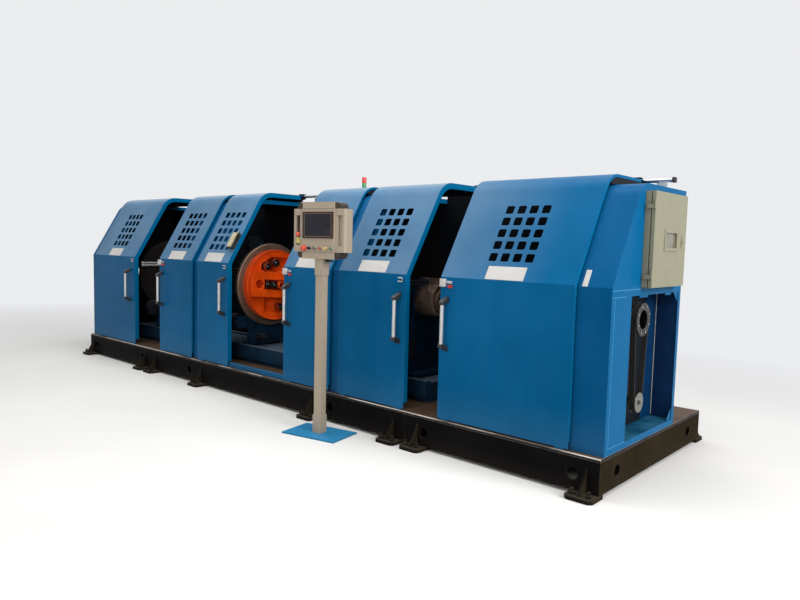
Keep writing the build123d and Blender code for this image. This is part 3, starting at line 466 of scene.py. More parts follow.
def metal(name, colour, rough, scratch_stretch, tint=None, bevel=0.0015):
    """Bare turned or drawn metal with fine marks along one direction."""
    f = Finish(name)
    marks = f.noise(60, 4, 0.7, scratch_stretch)
    stain = f.spread(f.noise(7, 5, 0.6), 0.42, 0.7)
    shade = f.mix(f.spread(marks, 0.3, 0.7), shaded(colour, 0.82), colour)
    shade = f.mix(f.times(stain, 0.45), shade, tint or shaded(colour, 0.55))
    f.set(Base_Color=shade, Metallic=1.0)
    f.set(Roughness=f.spread(marks, 0.3, 0.7, rough * 0.75, rough * 1.35))
    return f.set(Normal=f.bump(marks, 0.08, 0.0004, f.bevel(bevel)))


def plastic(name, colour, rough=0.45, speckle=0.12, bevel=0.0015):
    """Moulded plastic or enamel with a fine grain and faint handling marks."""
    f = Finish(name)
    grain = f.noise(700, 2)
    marks = f.spread(f.noise(12, 5, 0.65), 0.4, 0.7)
    shade = f.mix(f.spread(f.noise(25, 4), 0.3, 0.7), shaded(colour, 1 - speckle), colour)
    shade = f.mix(f.times(marks, 0.10), shade, (0.16, 0.15, 0.14))
    f.set(Base_Color=shade, Roughness=f.spread(marks, 0, 1, rough, rough * 1.3))
    return f.set(Specular_IOR_Level=0.25, Normal=f.bump(grain, 0.09, 0.0004, f.bevel(bevel)))


def lengthwise(f):
    """The place along the pendant's own width, from its middle."""
    x = f.maths("SUBTRACT", f.axis("X"), pendant_x)
    y = f.maths("SUBTRACT", f.axis("Y"), pendant_y)
    along = f.times(x, math.cos(pendant_turn))
    return f.maths("ADD", along, f.times(y, math.sin(pendant_turn)))


# The pendant's glass and the line round it
glass_half_width = 0.1195
glass_half_height = 0.0805
glass_line = 0.007


def screen_finish():
    """Brown bezel, a dull inner line and the dark grey glass."""
    f = Finish("screen_finish")
    away_x = f.maths("ABSOLUTE", lengthwise(f))
    away_z = f.maths("ABSOLUTE", f.maths("SUBTRACT", f.axis("Z"), screen_middle_z))
    smear = f.spread(f.noise(14, 5, 0.65), 0.4, 0.7)
    glass = f.mix(smear, (0.014, 0.014, 0.020), (0.021, 0.021, 0.026))
    line = f.mix(smear, (0.115, 0.085, 0.068), (0.085, 0.062, 0.05))
    brown = f.mix(smear, (0.030, 0.014, 0.009), (0.045, 0.024, 0.017))

    def outside(margin):
        """1 outside the glass and a margin round it."""
        wide = f.maths("GREATER_THAN", away_x, glass_half_width + margin)
        return f.maths("MAXIMUM", wide, f.maths("GREATER_THAN", away_z, glass_half_height + margin))

    paint = f.mix(outside(glass_line), f.mix(outside(0), glass, line), brown)
    f.set(Base_Color=paint, Roughness=f.spread(smear, 0, 1, 0.22, 0.38), Specular_IOR_Level=0.16)
    return f.set(Normal=f.bump(f.noise(500, 2), 0.05, 0.0003, f.bevel(0.001)))


def button_finish():
    """The row of push buttons: red, black, grey, red, yellow and green."""
    f = Finish("button_finish")
    place = lengthwise(f)
    marks = f.spread(f.noise(40, 4, 0.65), 0.4, 0.7)
    paint = f.mix(marks, (0.62, 0.075, 0.035), (0.50, 0.055, 0.03))
    for number, colour in enumerate(button_colours):
        start = (number - 2) * button_pitch
        worn = f.mix(marks, colour, shaded(colour, 0.8))
        paint = f.mix(f.maths("GREATER_THAN", place, start), paint, worn)
    f.set(Base_Color=paint, Roughness=f.spread(marks, 0, 1, 0.35, 0.5), Specular_IOR_Level=0.3)
    return f.set(Normal=f.bump(f.noise(500, 2), 0.05, 0.0003, f.bevel(0.0015)))


# The belt bay: where its painted black shade ends, and the rear face of its front wall
dark_shade_end = (0.915, 0.925)
front_wall_rear = 0.322


def bay_finish():
    """The belt bay's sheets with painted light and shade: black behind the pulleys, dark blue beyond
    them, brighter on the front wall and pale on the floor.
    """
    f = Finish("bay_finish")
    clouds = f.spread(f.noise(5, 5, 0.6), 0.35, 0.65)
    blue = f.mix(clouds, (0.0015, 0.016, 0.052), (0.002, 0.024, 0.075))
    black = f.mix(clouds, (0.003, 0.003, 0.004), (0.005, 0.006, 0.008))
    # Painted shade: black behind the pulleys and dark blue beyond; the front wall and faces that look up
    # painted brighter as lit
    paint = f.mix(f.spread(f.axis("Y"), *dark_shade_end), black, blue)
    front_wall = f.maths("LESS_THAN", f.axis("Y"), front_wall_rear)
    paint = f.mix(front_wall, paint, (0.003, 0.05, 0.14))
    paint = f.mix(f.upward(), paint, f.mix(clouds, (0.02, 0.11, 0.19), (0.005, 0.045, 0.09)))
    f.set(Base_Color=paint, Roughness=f.spread(clouds, 0, 1, 0.4, 0.55), Specular_IOR_Level=0.12)
    return f.set(Specular_Tint=sky_tint, Normal=f.bump(f.noise(140, 3), 0.1, 0.0008, f.bevel(0.002)))


# The holes' radius over their pitch, squared
hole_share = 0.085


def perforated(name, colour):
    """A painted sheet with rows of small round holes, dark behind them."""
    f = Finish(name)
    squares = []
    for letter in ("X", "Z"):
        share = f.maths("FRACT", f.times(f.axis(letter), 1 / perforation_pitch))
        away = f.maths("SUBTRACT", share, 0.5)
        squares.append(f.times(away, away))
    hole = f.maths("LESS_THAN", f.maths("ADD", *squares), hole_share)
    clouds = f.spread(f.noise(5, 5, 0.6), 0.35, 0.65)
    paint = f.mix(clouds, shaded(colour, 0.75), colour)
    paint = f.mix(hole, paint, (0.002, 0.003, 0.006))
    f.set(Base_Color=paint, Roughness=f.spread(clouds, 0, 1, 0.4, 0.55), Specular_IOR_Level=0.15)
    return f.set(Normal=f.bump(f.maths("SUBTRACT", 1.0, hole), 0.5, 0.001))


def hand_box_finish():
    """Pale yellow cover on the outer face, black body behind it."""
    f = Finish("hand_box_finish")
    outward = (-0.35, -math.cos(cover_lean), math.sin(cover_lean))
    cover = f.spread(f.vector("DOT_PRODUCT", f.normal(), outward), 0.30, 0.34)
    marks = f.spread(f.noise(30, 5, 0.65), 0.4, 0.7)
    yellow = f.mix(marks, (0.47, 0.40, 0.25), (0.34, 0.29, 0.18))
    black = f.mix(marks, (0.010,) * 3, (0.028, 0.027, 0.026))
    f.set(Base_Color=f.mix(cover, black, yellow), Roughness=f.spread(marks, 0, 1, 0.42, 0.6))
    return f.set(Specular_IOR_Level=0.25, Normal=f.bump(f.noise(400, 2), 0.08, 0.0004, f.bevel(0.002)))


def rubber(name):
    """Black ribbed rubber, greyed by dust."""
    f = Finish(name)
    fine = f.noise(120, 4)
    shade = f.mix(f.spread(fine, 0.35, 0.7), (0.008, 0.008, 0.008), (0.035, 0.033, 0.03))
    f.set(Base_Color=shade, Roughness=f.spread(fine, 0, 1, 0.6, 0.85))
    return f.set(Specular_IOR_Level=0.3, Normal=f.bump(fine, 0.2, 0.0006))


def handle_finish():
    """Satin tube with black moulded brackets at its two ends."""
    f = Finish("handle_finish")
    away = f.maths("ABSOLUTE", f.maths("SUBTRACT", f.axis("Z"), handle_middle))
    bracket = f.spread(away, handle_grip_half, handle_grip_half + 0.001)
    marks = f.noise(50, 3, 0.6, (6, 6, 0.3))
    tube = f.mix(f.spread(marks, 0.3, 0.7), (0.42, 0.41, 0.41), (0.62, 0.61, 0.60))
    black = f.mix(f.spread(f.noise(30, 4), 0.4, 0.7), (0.008, 0.008, 0.009), (0.03, 0.03, 0.03))
    bare = f.maths("SUBTRACT", 0.85, f.times(bracket, 0.85))
    f.set(Base_Color=f.mix(bracket, tube, black), Metallic=bare)
    f.set(Roughness=f.maths("ADD", f.spread(marks, 0.3, 0.7, 0.26, 0.38), f.times(bracket, 0.15)))
    return f.set(Normal=f.bump(f.noise(500, 2), 0.06, 0.0004, f.bevel(0.002)))


def head_orange():
    """Gloss orange paint with grease, painted shade on faces that don't look along the axis, and chipped
    edges painted paler, partly as a highlight.
    """
    f = Finish("head_orange")
    rounded = f.bevel(0.003)
    grease = f.spread(f.noise(9, 5, 0.65), 0.5, 0.75)
    paint = f.mix(f.spread(f.noise(3.5, 4), 0.35, 0.65), (0.72, 0.058, 0.003), (0.95, 0.095, 0.005))
    front = f.maths("ABSOLUTE", f.axis("X", f.normal()))
    # Painted shade on faces that don't look along the axis: pocket walls and sides
    side_shade = f.spread(front, 0.3, 0.9, 0.55, 0.0)
    paint = f.mix(side_shade, paint, (0.36, 0.025, 0.003))
    paint = f.mix(f.times(grease, 0.35), paint, (0.14, 0.02, 0.006))
    # Edges painted paler orange: chips and a painted highlight
    worn = f.times(f.edges(rounded), f.spread(f.noise(20, 4), 0.38, 0.6, 0.3, 0.8))
    paint = f.mix(worn, paint, (0.92, 0.22, 0.07))
    f.set(Base_Color=paint, Roughness=f.spread(grease, 0, 1, 0.38, 0.26), Specular_IOR_Level=0.2)
    return f.set(Normal=f.bump(f.noise(200, 3), 0.12, 0.0009, rounded))


lamp_joint_half = 0.0005


def lamp_finish(low, high):
    """Lamp of two coloured glasses over a grey foot and pole."""
    f = Finish("lamp_finish")
    height = f.axis("Z")
    middle = (low + high) / 2
    glow = f.spread(f.noise(90, 2, 0.5, (0.2, 0.2, 3)), 0.3, 0.7, 0.75, 1.0)
    red = f.mix(glow, (0.30, 0.008, 0.006), (0.62, 0.02, 0.015))
    green = f.mix(glow, (0.006, 0.10, 0.03), (0.015, 0.24, 0.07))
    grey = f.mix(glow, (0.20,) * 3, (0.33,) * 3)
    glass = f.mix(f.spread(height, middle - lamp_joint_half, middle + lamp_joint_half), green, red)
    foot = f.spread(height, low - lamp_joint_half, low + lamp_joint_half)
    f.set(Base_Color=f.mix(foot, grey, glass))
    return f.set(Roughness=f.spread(glow, 0.75, 1.0, 0.24, 0.14), Normal=f.bump(glow, 0.3, 0.001))


def pane_finish(name, colour):
    """Clear pane, faintly tinted and smeared."""
    f = Finish(name)
    smear = f.spread(f.noise(14, 4), 0.4, 0.7)
    f.set(Base_Color=f.mix(smear, colour, shaded(colour, 1.25, 0.02)))
    return f.set(Roughness=f.spread(smear, 0, 1, 0.06, 0.2), Transmission_Weight=0.25, IOR=1.5)


hood_blue = sheet_paint("hood_blue", (0.0006, 0.086, 0.210), 0.175, 0.40, hung=True)
housing_blue = sheet_paint("housing_blue", (0.0012, 0.074, 0.195), 0.0)
wall_blue = sheet_paint("wall_blue", (0.003, 0.075, 0.19), 0.04)
sill_blue = oily_paint("sill_blue", (0.006, 0.09, 0.21), (0.006, 0.02, 0.035), (0.03, 0.12, 0.24))
bed_blue = oily_paint("bed_blue", (0.011, 0.034, 0.066), (0.004, 0.008, 0.013), (0.11, 0.14, 0.18))
plate_blue = oily_paint("plate_blue", (0.018, 0.155, 0.30), (0.02, 0.09, 0.16), (0.028, 0.19, 0.365))
base_black = frame_black()
deck_finish = deck_steel()
rail_steel = metal("rail_steel", (0.55, 0.57, 0.60), 0.24, (0.2, 6, 6))
orange = head_orange()
roller_steel = metal("roller_steel", (0.45, 0.40, 0.36), 0.24, (0.4, 4, 4), (0.05, 0.04, 0.035))
motor_black = oily_paint("motor_black", (0.012, 0.012, 0.014), (0.005,) * 3, (0.03, 0.03, 0.032))
pulley_metal = metal("pulley_metal", (0.055, 0.053, 0.055), 0.34, (5, 1, 1), (0.02, 0.019, 0.018))
bright_pulley = metal("bright_pulley", (0.24, 0.24, 0.22), 0.3, (5, 1, 1), (0.09, 0.085, 0.075))
belt_black = rubber("belt_black")
bay_blue = bay_finish()
bay_mesh = perforated("bay_mesh", (0.003, 0.034, 0.115))
cabinet_grey = plastic("cabinet_grey", (0.204, 0.197, 0.131), 0.42, 0.05, 0.003)
post_beige = plastic("post_beige", (0.335, 0.275, 0.205), 0.42, 0.06, 0.003)
corner_brown = plastic("corner_brown", (0.040, 0.030, 0.022), 0.5, 0.25)
black_plastic = plastic("black_plastic", (0.012, 0.012, 0.013), 0.42, 0.3)
cabinet_pane = pane_finish("cabinet_pane", (0.17, 0.155, 0.115))
lamp_glass_height = 0.114
lamp_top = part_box("warning_light")[1].z
lamp_glass = lamp_finish(lamp_top - lamp_glass_height, lamp_top)
handle_metal = handle_finish()
hand_control = hand_box_finish()

finishes = {
    "base_": base_black, "deck_plates": deck_finish, "front_sill": sill_blue,
    "housing_": housing_blue, "rear_wall": wall_blue, "top_rail": rail_steel,
    "rail_feet": rail_steel, "rail_end_blocks": black_plastic, "hood_": hood_blue,
    "handle_": handle_metal, "bed": bed_blue, "head_stand": stand_finish(),
    "head_wheel": wheel_finish(), "head_disc": orange, "head_rollers": roller_steel,
    "drive_motors": motor_black, "tape_reel": motor_black, "bay_partition": bay_blue,
    "bay_screen": bay_mesh, "upper_pulley": pulley_metal, "lower_pulley": bright_pulley,
    "pulley_bearings": pulley_metal, "belt": belt_black, "cabinet_": cabinet_grey,
    "door_window": cabinet_pane, "warning_light": lamp_glass, "pendant_plate": plate_blue,
    "pendant_post": post_beige, "pendant_panel": post_beige, "pendant_corners": corner_brown,
    "pendant_screen": screen_finish(), "pendant_buttons": button_finish(),
    "hand_box": hand_control,
}
for name, node in nodes.items():
    start = max((key for key in finishes if name.startswith(key)), key=len)
    node.data.materials.clear()
    node.data.materials.append(finishes[start])


# Pieces added to the model


def piece(name, mesh_maker, finish, body, bevel=0.0, segments=2):
    """An object from a mesh builder, with rounded edges, riding on a body."""
    mesh = bpy.data.meshes.new(name)
    builder = bmesh.new()
    mesh_maker(builder)
    bmesh.ops.recalc_face_normals(builder, faces=builder.faces)
    builder.to_mesh(mesh)
    builder.free()
    mesh.materials.append(finish)
    thing = bpy.data.objects.new(name, mesh)
    bpy.context.scene.collection.objects.link(thing)
    if bevel:
        rounding = thing.modifiers.new("rounding", "BEVEL")
        rounding.width = bevel
        rounding.segments = segments
        rounding.limit_method = "ANGLE"
    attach(thing, body)
    return thing


def slab(builder, place, low, high):
    """A box between two corners, set by a matrix."""
    size = Vector(high) - Vector(low)
    middle = (Vector(high) + Vector(low)) / 2
    fit = place @ Matrix.Translation(middle) @ Matrix.Diagonal((*size, 1))
    bmesh.ops.create_cube(builder, size=1.0, matrix=fit)


def rod(builder, place, radius, low, high, sides=20, tip=None):
    """A round or many-sided bar along the matrix's Z, from low to high."""
    fit = place @ Matrix.Translation((0, 0, (low + high) / 2))
    bmesh.ops.create_cone(
        builder, cap_ends=True, segments=sides, radius1=radius, radius2=radius if tip is None else tip,
        depth=high - low, matrix=fit,
    )


def slabs(builder, place, corners):
    """Boxes between pairs of corners, set by one matrix."""
    for low, high in corners:
        slab(builder, place, low, high)


def turned(builder, place, steps):
    """A turned part from its steps: radius, start, end, sides and, where it tapers, the last radius."""
    for step in steps:
        rod(builder, place, *step)


def prism(builder, place, points, low, high):
    """An outline in the matrix's X and Y, drawn out along its Z from low to high."""
    rings = [
        [builder.verts.new(place @ Vector((x, y, depth))) for x, y in points] for depth in (low, high)
    ]
    for ring in rings:
        builder.faces.new(ring)
    for number in range(len(points)):
        after = (number + 1) % len(points)
        builder.faces.new((rings[0][number], rings[0][after], rings[1][after], rings[1][number]))


def on_slant(x, up, front=hood_front, rise=hood_break):
    """The frame on a leaning panel: X along the machine, Y up the panel, Z out of it."""
    out = Vector((0, -math.cos(cover_lean), math.sin(cover_lean)))
    along = Vector((1, 0, 0))
    upward = Vector((0, math.sin(cover_lean), math.cos(cover_lean)))
    turn = Matrix((along, upward, out)).transposed().to_4x4()
    place = Vector((x, front + up * math.sin(cover_lean), rise + up * math.cos(cover_lean)))
    return Matrix.Translation(place) @ turn


to_front = Matrix(((1, 0, 0), (0, 0, -1), (0, 1, 0))).to_4x4()
to_end = Matrix(((0, 0, 1), (1, 0, 0), (0, 1, 0))).to_4x4()
flat = Matrix.Identity(4)
pendant = Matrix.Translation((pendant_x, pendant_y, 0)) @ Matrix.Rotation(pendant_turn, 4, "Z")


def on_front(x, z, front=hood_front):
    """The frame on an upright front panel: X along, Y up, Z out to the front."""
    return Matrix.Translation((x, front, z)) @ to_front


def on_end(y, z, x=end_face):
    """The frame on an end face: X to the rear, Y up, Z out of the right end."""
    return Matrix.Translation((x, y, z)) @ to_end


def on_pendant(x, z, depth=panel_front):
    """The frame on the pendant's face: X along its width, Y up, Z out to the front."""
    return pendant @ Matrix.Translation((x, depth, z)) @ to_front


plaque_metal = plastic("plaque_metal", (0.47, 0.46, 0.44), 0.3, 0.06)
chrome = metal("chrome", (0.50, 0.51, 0.53), 0.22, (3, 3, 1))
# Near black of the lips: a guessed seal, painted black as the shade in the gap under the hoods' tops
seal_and_shade_black = plastic("seal_and_shade_black", (0.003, 0.003, 0.004), 0.8, 0.2)
switch_red = plastic("switch_red", (0.42, 0.03, 0.02), 0.35, 0.1)

plate_depth = 0.002
rivet_inset = 0.012
rivet = (0.004, 0.0015, 0.0035, 12)
plaque_half_width = 0.145
plaque_height = 0.098
plaque_up = 0.004


def riveted_plate(builder, place, half_width, height, columns):
    """A bare plate standing on its lower edge, with rivets at its foot and head in each column."""
    slab(builder, place, (-half_width, 0, 0), (half_width, height, plate_depth))
    for x in columns:
        for y in (rivet_inset, height - rivet_inset):
            rod(builder, place @ Matrix.Translation((x, y, 0)), *rivet)


def plaque(letter):
    """A bare plate low on a hood's leaning panel, held by four rivets."""
    low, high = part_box("hood_" + letter)
    middle = (low.x + high.x) / 2
    rivet_x = plaque_half_width - rivet_inset

    def build(b):
        place = on_slant(middle, plaque_up)
        riveted_plate(b, place, plaque_half_width, plaque_height, (-rivet_x, rivet_x))

    piece("plaque_" + letter, build, plaque_metal, "sliding_hood_" + letter, 0.0007, 1)


# Outline of a handle's upper arm behind the grip: depth from the hood, height over the middle
handle_arm = (
    (-0.060, 0.133), (-0.060, 0.158), (-0.052, 0.164), (0.004, 0.188), (0.012, 0.189), (0.012, 0.158),
    (-0.022, 0.142), (-0.026, 0.133),
)
handle_grip_radius = 0.014
handle_grip_y = -0.043


def handle(letter):
    """A pull handle: bright grip between two black arms that spread towards the hood."""
    low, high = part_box("handle_" + letter)

    def build(b):
        place = Matrix.Translation(((low.x + high.x) / 2, handle_grip_y, handle_middle))
        rod(b, place, handle_grip_radius, -handle_grip_half, handle_grip_half, 24)
        for side in (-1, 1):
            points = [(y, handle_middle + side * z) for y, z in handle_arm]
            prism(b, to_end, points, low.x, high.x)

    thing = piece("pull_handle_" + letter, build, handle_metal, "sliding_hood_" + letter,
                  0.003)
    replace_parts(thing, "handle_" + letter)


# Keepers and switches: their height on the hood's front, and the corners of their boxes from there
catch_z = 1.202
catch_inset = 0.026
keeper_bars = (
    ((-0.046, -0.018, 0), (-0.006, -0.008, 0.011)), ((-0.046, 0.008, 0), (-0.006, 0.018, 0.011)),
    ((-0.006, -0.018, 0), (0, 0.018, 0.011)),
)
switch_case = (
    ((0.006, -0.026, 0), (0.048, 0.028, 0.024)), ((0.012, -0.018, 0.024), (0.040, 0.018, 0.029)),
)
switch_tongue = ((0.048, -0.004, 0), (0.104, 0.014, 0.008))
switch_tip = ((0.070, -0.032, 0), (0.102, -0.012, 0.016))
tongue_screw = (0.005, 0.008, 0.014, 12)
tongue_screw_places = ((0.060, 0.006, 0), (0.088, 0.006, 0))


def catch(letter):
    """A bright keeper near a hood's trailing edge: two ribs joined at one end."""
    place = on_front(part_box("hood_" + letter)[1].x - catch_inset, catch_z)

    def build(b):
        slabs(b, place, keeper_bars)

    piece("catch_" + letter, build, chrome, "sliding_hood_" + letter, 0.0012, 1)


def switch(letter):
    """A switch near a hood's leading edge: pale body, bright tongue, red tip."""
    place = on_front(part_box("hood_" + letter)[0].x, catch_z)
    body = "sliding_hood_" + letter

    def case(b):
        slabs(b, place, switch_case)

    def tongue(b):
        slab(b, place, *switch_tongue)
        for screw_place in tongue_screw_places:
            rod(b, place @ Matrix.Translation(screw_place), *tongue_screw)

    def tip(b):
        slab(b, place, *switch_tip)

    piece("switch_body_" + letter, case, plaque_metal, body, 0.002)
    piece("switch_tongue_" + letter, tongue, chrome, body, 0.001, 1)
    piece("switch_tip_" + letter, tip, switch_red, body, 0.002)


# The lip that closes a hood's top over its housing, as depth and height, and the curtain along its rear
lip_sheet = 0.003
lip_bottom = 1.870
lip_top = 1.916
curtain_y = (0.917, 0.920)
curtain_top = 1.9335
curtain_end_gap = 0.004
lip_outline = (
    (0.43, lip_bottom), (curtain_y[0], lip_bottom), (curtain_y[0], lip_top), (0.52, lip_top),
    (0.45, 1.900), (0.43, 1.893),
)


def lip(letter, side):
    """Black lips under a hood's top: on the side that runs over a housing and along the rear, black as
    painted shade in the gap.
    """
    low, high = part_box("hood_" + letter)
    start = low.x if side < 0 else high.x - lip_sheet
    curtain_low = (low.x + curtain_end_gap, curtain_y[0], lip_bottom)
    curtain_high = (high.x - curtain_end_gap, curtain_y[1], curtain_top)

    def build(b):
        prism(b, to_end, lip_outline, start, start + lip_sheet)
        slab(b, flat, curtain_low, curtain_high)

    piece("lip_" + letter, build, seal_and_shade_black, "sliding_hood_" + letter)


# The end of each hood that runs over a housing, left or right
housing_sides = {"a": -1, "b": 1, "c": -1, "d": 1, "e": -1, "f": 1}
for letter, side in housing_sides.items():
    plaque(letter)
    handle(letter)
    lip(letter, side)
for letter in "ace":
    catch(letter)
for letter in "bdf":
    switch(letter)


# Housings, rear wall and base

# Pale blue of the seams: a painted highlight on their raised edges
seam_highlight_blue = plastic("seam_highlight_blue", (0.05, 0.27, 0.50), 0.35, 0.05)
seam_width = 0.0026
seam_rise = 0.0006
end_seams = (
    ((0.050, 1.220), (1.130, 1.220)), ((0.050, 1.180), (0.240, 1.180)), ((0.085, 0.287), (0.085, 1.180)),
    ((0.085, 0.287), (0.318, 0.287)),
)
strip_x = 6.6275
strip_half_width = 0.017
strip_height = 0.112


def slant_strip(b):
    """A bare strip at the foot of the right housing's leaning panel, held by two rivets."""
    place = on_slant(strip_x, 0, housing_front, housing_break)
    riveted_plate(b, place, strip_half_width, strip_height, (0,))


def sheet_seams(b):
    """Fine raised edges where the end wall's sheets overlap, pale blue as a painted highlight."""
    half = seam_width / 2
    for (y, z), (far_y, far_z) in end_seams:
        near = (end_face, y - half, z - half)
        slab(b, flat, near, (end_face + seam_rise, far_y + half, far_z + half))


# Belt bay: the tabs' corners, the gussets' outlines as depth and height, and the bead's place
bay_tabs = (
    ((6.784, 0.449, 1.165), (6.797, 0.576, 1.181)), ((6.784, 0.861, 1.165), (6.797, 0.970, 1.181)),
)
gusset_x = (6.793, 6.797)
bay_gussets = (
    ((1.092, 0.290), (1.092, 0.372), (1.010, 0.290)), ((1.092, 1.181), (1.010, 1.181), (1.092, 1.110)),
)
bead_place = Matrix.Translation((6.6545, 1.0965, 0))
bead = (0.0022, 0.300, 1.170, 12)


def bay_trim(b):
    """Tabs under the opening's head and gussets in its two rear corners."""
    slabs(b, flat, bay_tabs)
    for outline in bay_gussets:
        prism(b, to_end, outline, *gusset_x)


def bay_bead(b):
    """A pale bead down the opening's rear corner."""
    rod(b, bead_place, *bead)


section_joints = (1.51, 5.29)
joint_half_width = 0.02
joint_y = (1.140, 1.142)
joint_z = (0.25, 1.92)


def joint_strips(b):
    """Flat strips on the rear wall over the joints between the machine's three sections."""
    for x in section_joints:
        low = (x - joint_half_width, joint_y[0], joint_z[0])
        slab(b, flat, low, (x + joint_half_width, joint_y[1], joint_z[1]))


rail_cap_length = 0.022
rail_cap_y = (0.937, 0.973)
rail_cap_z = (1.912, 1.948)


def rail_caps(b):
    """Small blocks on the two ends of the rail."""
    low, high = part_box("top_rail")
    for start, end in ((low.x - rail_cap_length, low.x), (high.x, high.x + rail_cap_length)):
        slab(b, flat, (start, rail_cap_y[0], rail_cap_z[0]), (end, rail_cap_y[1], rail_cap_z[1]))


beam_plate = 0.003
beam_insides_y = ((0.012, 0.075), (1.625, 1.688))
beam_inside_z = (0.037, 0.213)


def beam_ends(b):
    """Closing plates in the open ends of the base's long channels."""
    for x, far_x in ((0, beam_plate), (end_face - beam_plate, end_face)):
        for y, far_y in beam_insides_y:
            slab(b, flat, (x, y, beam_inside_z[0]), (far_x, far_y, beam_inside_z[1]))


piece("slant_strip", slant_strip, plaque_metal, "frame", 0.0007, 1)
piece("sheet_seams", sheet_seams, seam_highlight_blue, "frame")
piece("bay_trim", bay_trim, housing_blue, "frame", 0.0008, 1)
piece("bay_bead", bay_bead, plaque_metal, "frame")
caps = piece("rail_caps", rail_caps, black_plastic, "frame", 0.003)
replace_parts(caps, "rail_end_blocks")
piece("beam_ends", beam_ends, base_black, "frame")
piece("joint_strips", joint_strips, wall_blue, "frame")


pulley_face = 6.779
bolt_count = 8
bolt_circle = 0.088
bolt_head = (0.0075, 0, 0.005, 6)


def pulley_bolts(b):
    """Hexagon heads round the upper pulley's face."""
    for number in range(bolt_count):
        angle = (number + 0.5) * 2 * math.pi / bolt_count
        y = axis_y + bolt_circle * math.cos(angle)
        rod(b, on_end(y, axis_z + bolt_circle * math.sin(angle), pulley_face), *bolt_head)


lock_place = on_end(0.923, 1.515, 6.863)
lock_corners = ((-0.015, -0.036, 0), (0.015, 0.036, 0.0035))


def lock_plate(b):
    """The plate round the cabinet's lock."""
    slab(b, lock_place, *lock_corners)


piece("pulley_bolts", pulley_bolts, chrome, "upper_pulley_body", 0.0007, 1)
piece("lock_plate", lock_plate, cabinet_grey, "door", 0.0012, 1)


# Pendant

slot_dark = plastic("slot_dark", (0.030, 0.020, 0.014), 0.5, 0.3)
unit_yellow = plastic("unit_yellow", (0.55, 0.46, 0.12), 0.4, 0.1)
stop_red = plastic("stop_red", (0.62, 0.075, 0.035), 0.35, 0.1)
stop_x = -2.5 * button_pitch
insert_corners = ((-0.015, 1.532, 0), (0.015, 1.662, 0.003))
cap_seam_corners = ((-0.144, -0.001, 0), (0.144, 0.001, 0.0006))
stop_dome = ((0.0195, 0, 0.004, 24, 0.017), (0.017, 0.004, 0.007, 24, 0.009))
side_stop_z = 1.516
side_stop = ((0.009, 0, 0.020, 16), (0.0165, 0.020, 0.028, 24), (0.0165, 0.028, 0.034, 24, 0.010))
side_unit_z = 1.470
side_unit_corners = ((-0.015, -0.022, 0), (0.015, 0.022, 0.020))
button_ring = (0.0155, 0, 0.004, 24)


def slot_strip(b):
    """The dark insert in the left profile's groove."""
    slab(b, on_pendant(-groove_x, 0, groove_floor), *insert_corners)


def cap_seams(b):
    """Fine dark joints between the panel's core and its two caps."""
    for z in (panel_bottom_z, panel_top_z):
        slab(b, on_pendant(0, z), *cap_seam_corners)


def stop_domes(b):
    """Domed heads of the stop button on the face and of the one in the groove."""
    turned(b, on_pendant(stop_x, button_z, button_face), stop_dome)
    turned(b, on_pendant(-groove_x, side_stop_z, groove_floor), side_stop)


def side_unit(b):
    """The yellow unit below the groove's button."""
    slab(b, on_pendant(-groove_x, side_unit_z, groove_floor), *side_unit_corners)


def button_rings(b):
    """Bright rings round the five small buttons."""
    for number in range(1, len(button_colours) + 1):
        rod(b, on_pendant(stop_x + number * button_pitch, button_z), *button_ring)


# Clamps and screws of the post's sleeves
sideways = Matrix.Rotation(math.radians(90), 4, "Y")
lever_place = pendant @ Matrix.Translation((0.038, 0, 1.322)) @ sideways
lever_hub = (0.008, 0, 0.022, 16)
lever_arm = ((0.056, -0.010, 1.314), (0.096, 0.010, 1.328))
stub_place = pendant @ Matrix.Translation((-0.062, 0, 0.050)) @ sideways
stub = (0.008, 0, 0.024, 16)
sleeve_front = -0.038
screw_half_pitch = 0.022
screw_heights = (0.060, 0.120, 1.235, 1.300)
screw_head = (0.0045, 0, 0.002, 12)


def clamp_lever(b):
    """The lever at the right of the upper sleeve and the stub at the left of the lower one."""
    rod(b, lever_place, *lever_hub)
    slab(b, pendant, *lever_arm)
    rod(b, stub_place, *stub)


def pendant_screws(b):
    """Screws in the sleeves of the post."""
    for x in (-screw_half_pitch, screw_half_pitch):
        for z in screw_heights:
            rod(b, on_pendant(x, z, sleeve_front), *screw_head)


for name, builder, finish, slot in (
    ("slot_strip", slot_strip, slot_dark, "black_plastic"),
    ("cap_seams", cap_seams, slot_dark, "black_plastic"),
    ("stop_domes", stop_domes, stop_red, "button_plastic"),
    ("side_unit", side_unit, unit_yellow, "button_plastic"),
    ("button_rings", button_rings, chrome, "rail_grey"),
    ("clamp_lever", clamp_lever, black_plastic, "black_plastic"),
    ("pendant_screws", pendant_screws, chrome, "rail_grey"),
):
    piece(name, builder, finish, "frame", 0.0006, 1)


# Hand control on the third hood

box_place = on_slant(2.955, 0.231)
box_half_length = 0.080
box_corners = (
    ((-0.039, -box_half_length, 0), (0.039, box_half_length, 0.046)),
    ((-0.034, -0.074, 0.046), (0.034, 0.074, 0.051)),
)
gland_turn = Matrix.Rotation(math.radians(-90), 4, "X")
gland_place = box_place @ Matrix.Translation((0.012, box_half_length, 0.024)) @ gland_turn
gland = ((0.011, 0, 0.010, 6), (0.008, 0.010, 0.024, 16))


def hand_control_box(b):
    """The hand control lying on the panel: body, raised cover and the gland at its upper end."""
    slabs(b, box_place, box_corners)
    turned(b, gland_place, gland)


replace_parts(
    piece("hand_control_box", hand_control_box, hand_control, "sliding_hood_c", 0.003),
    "hand_box",
)


# Foundation bolts

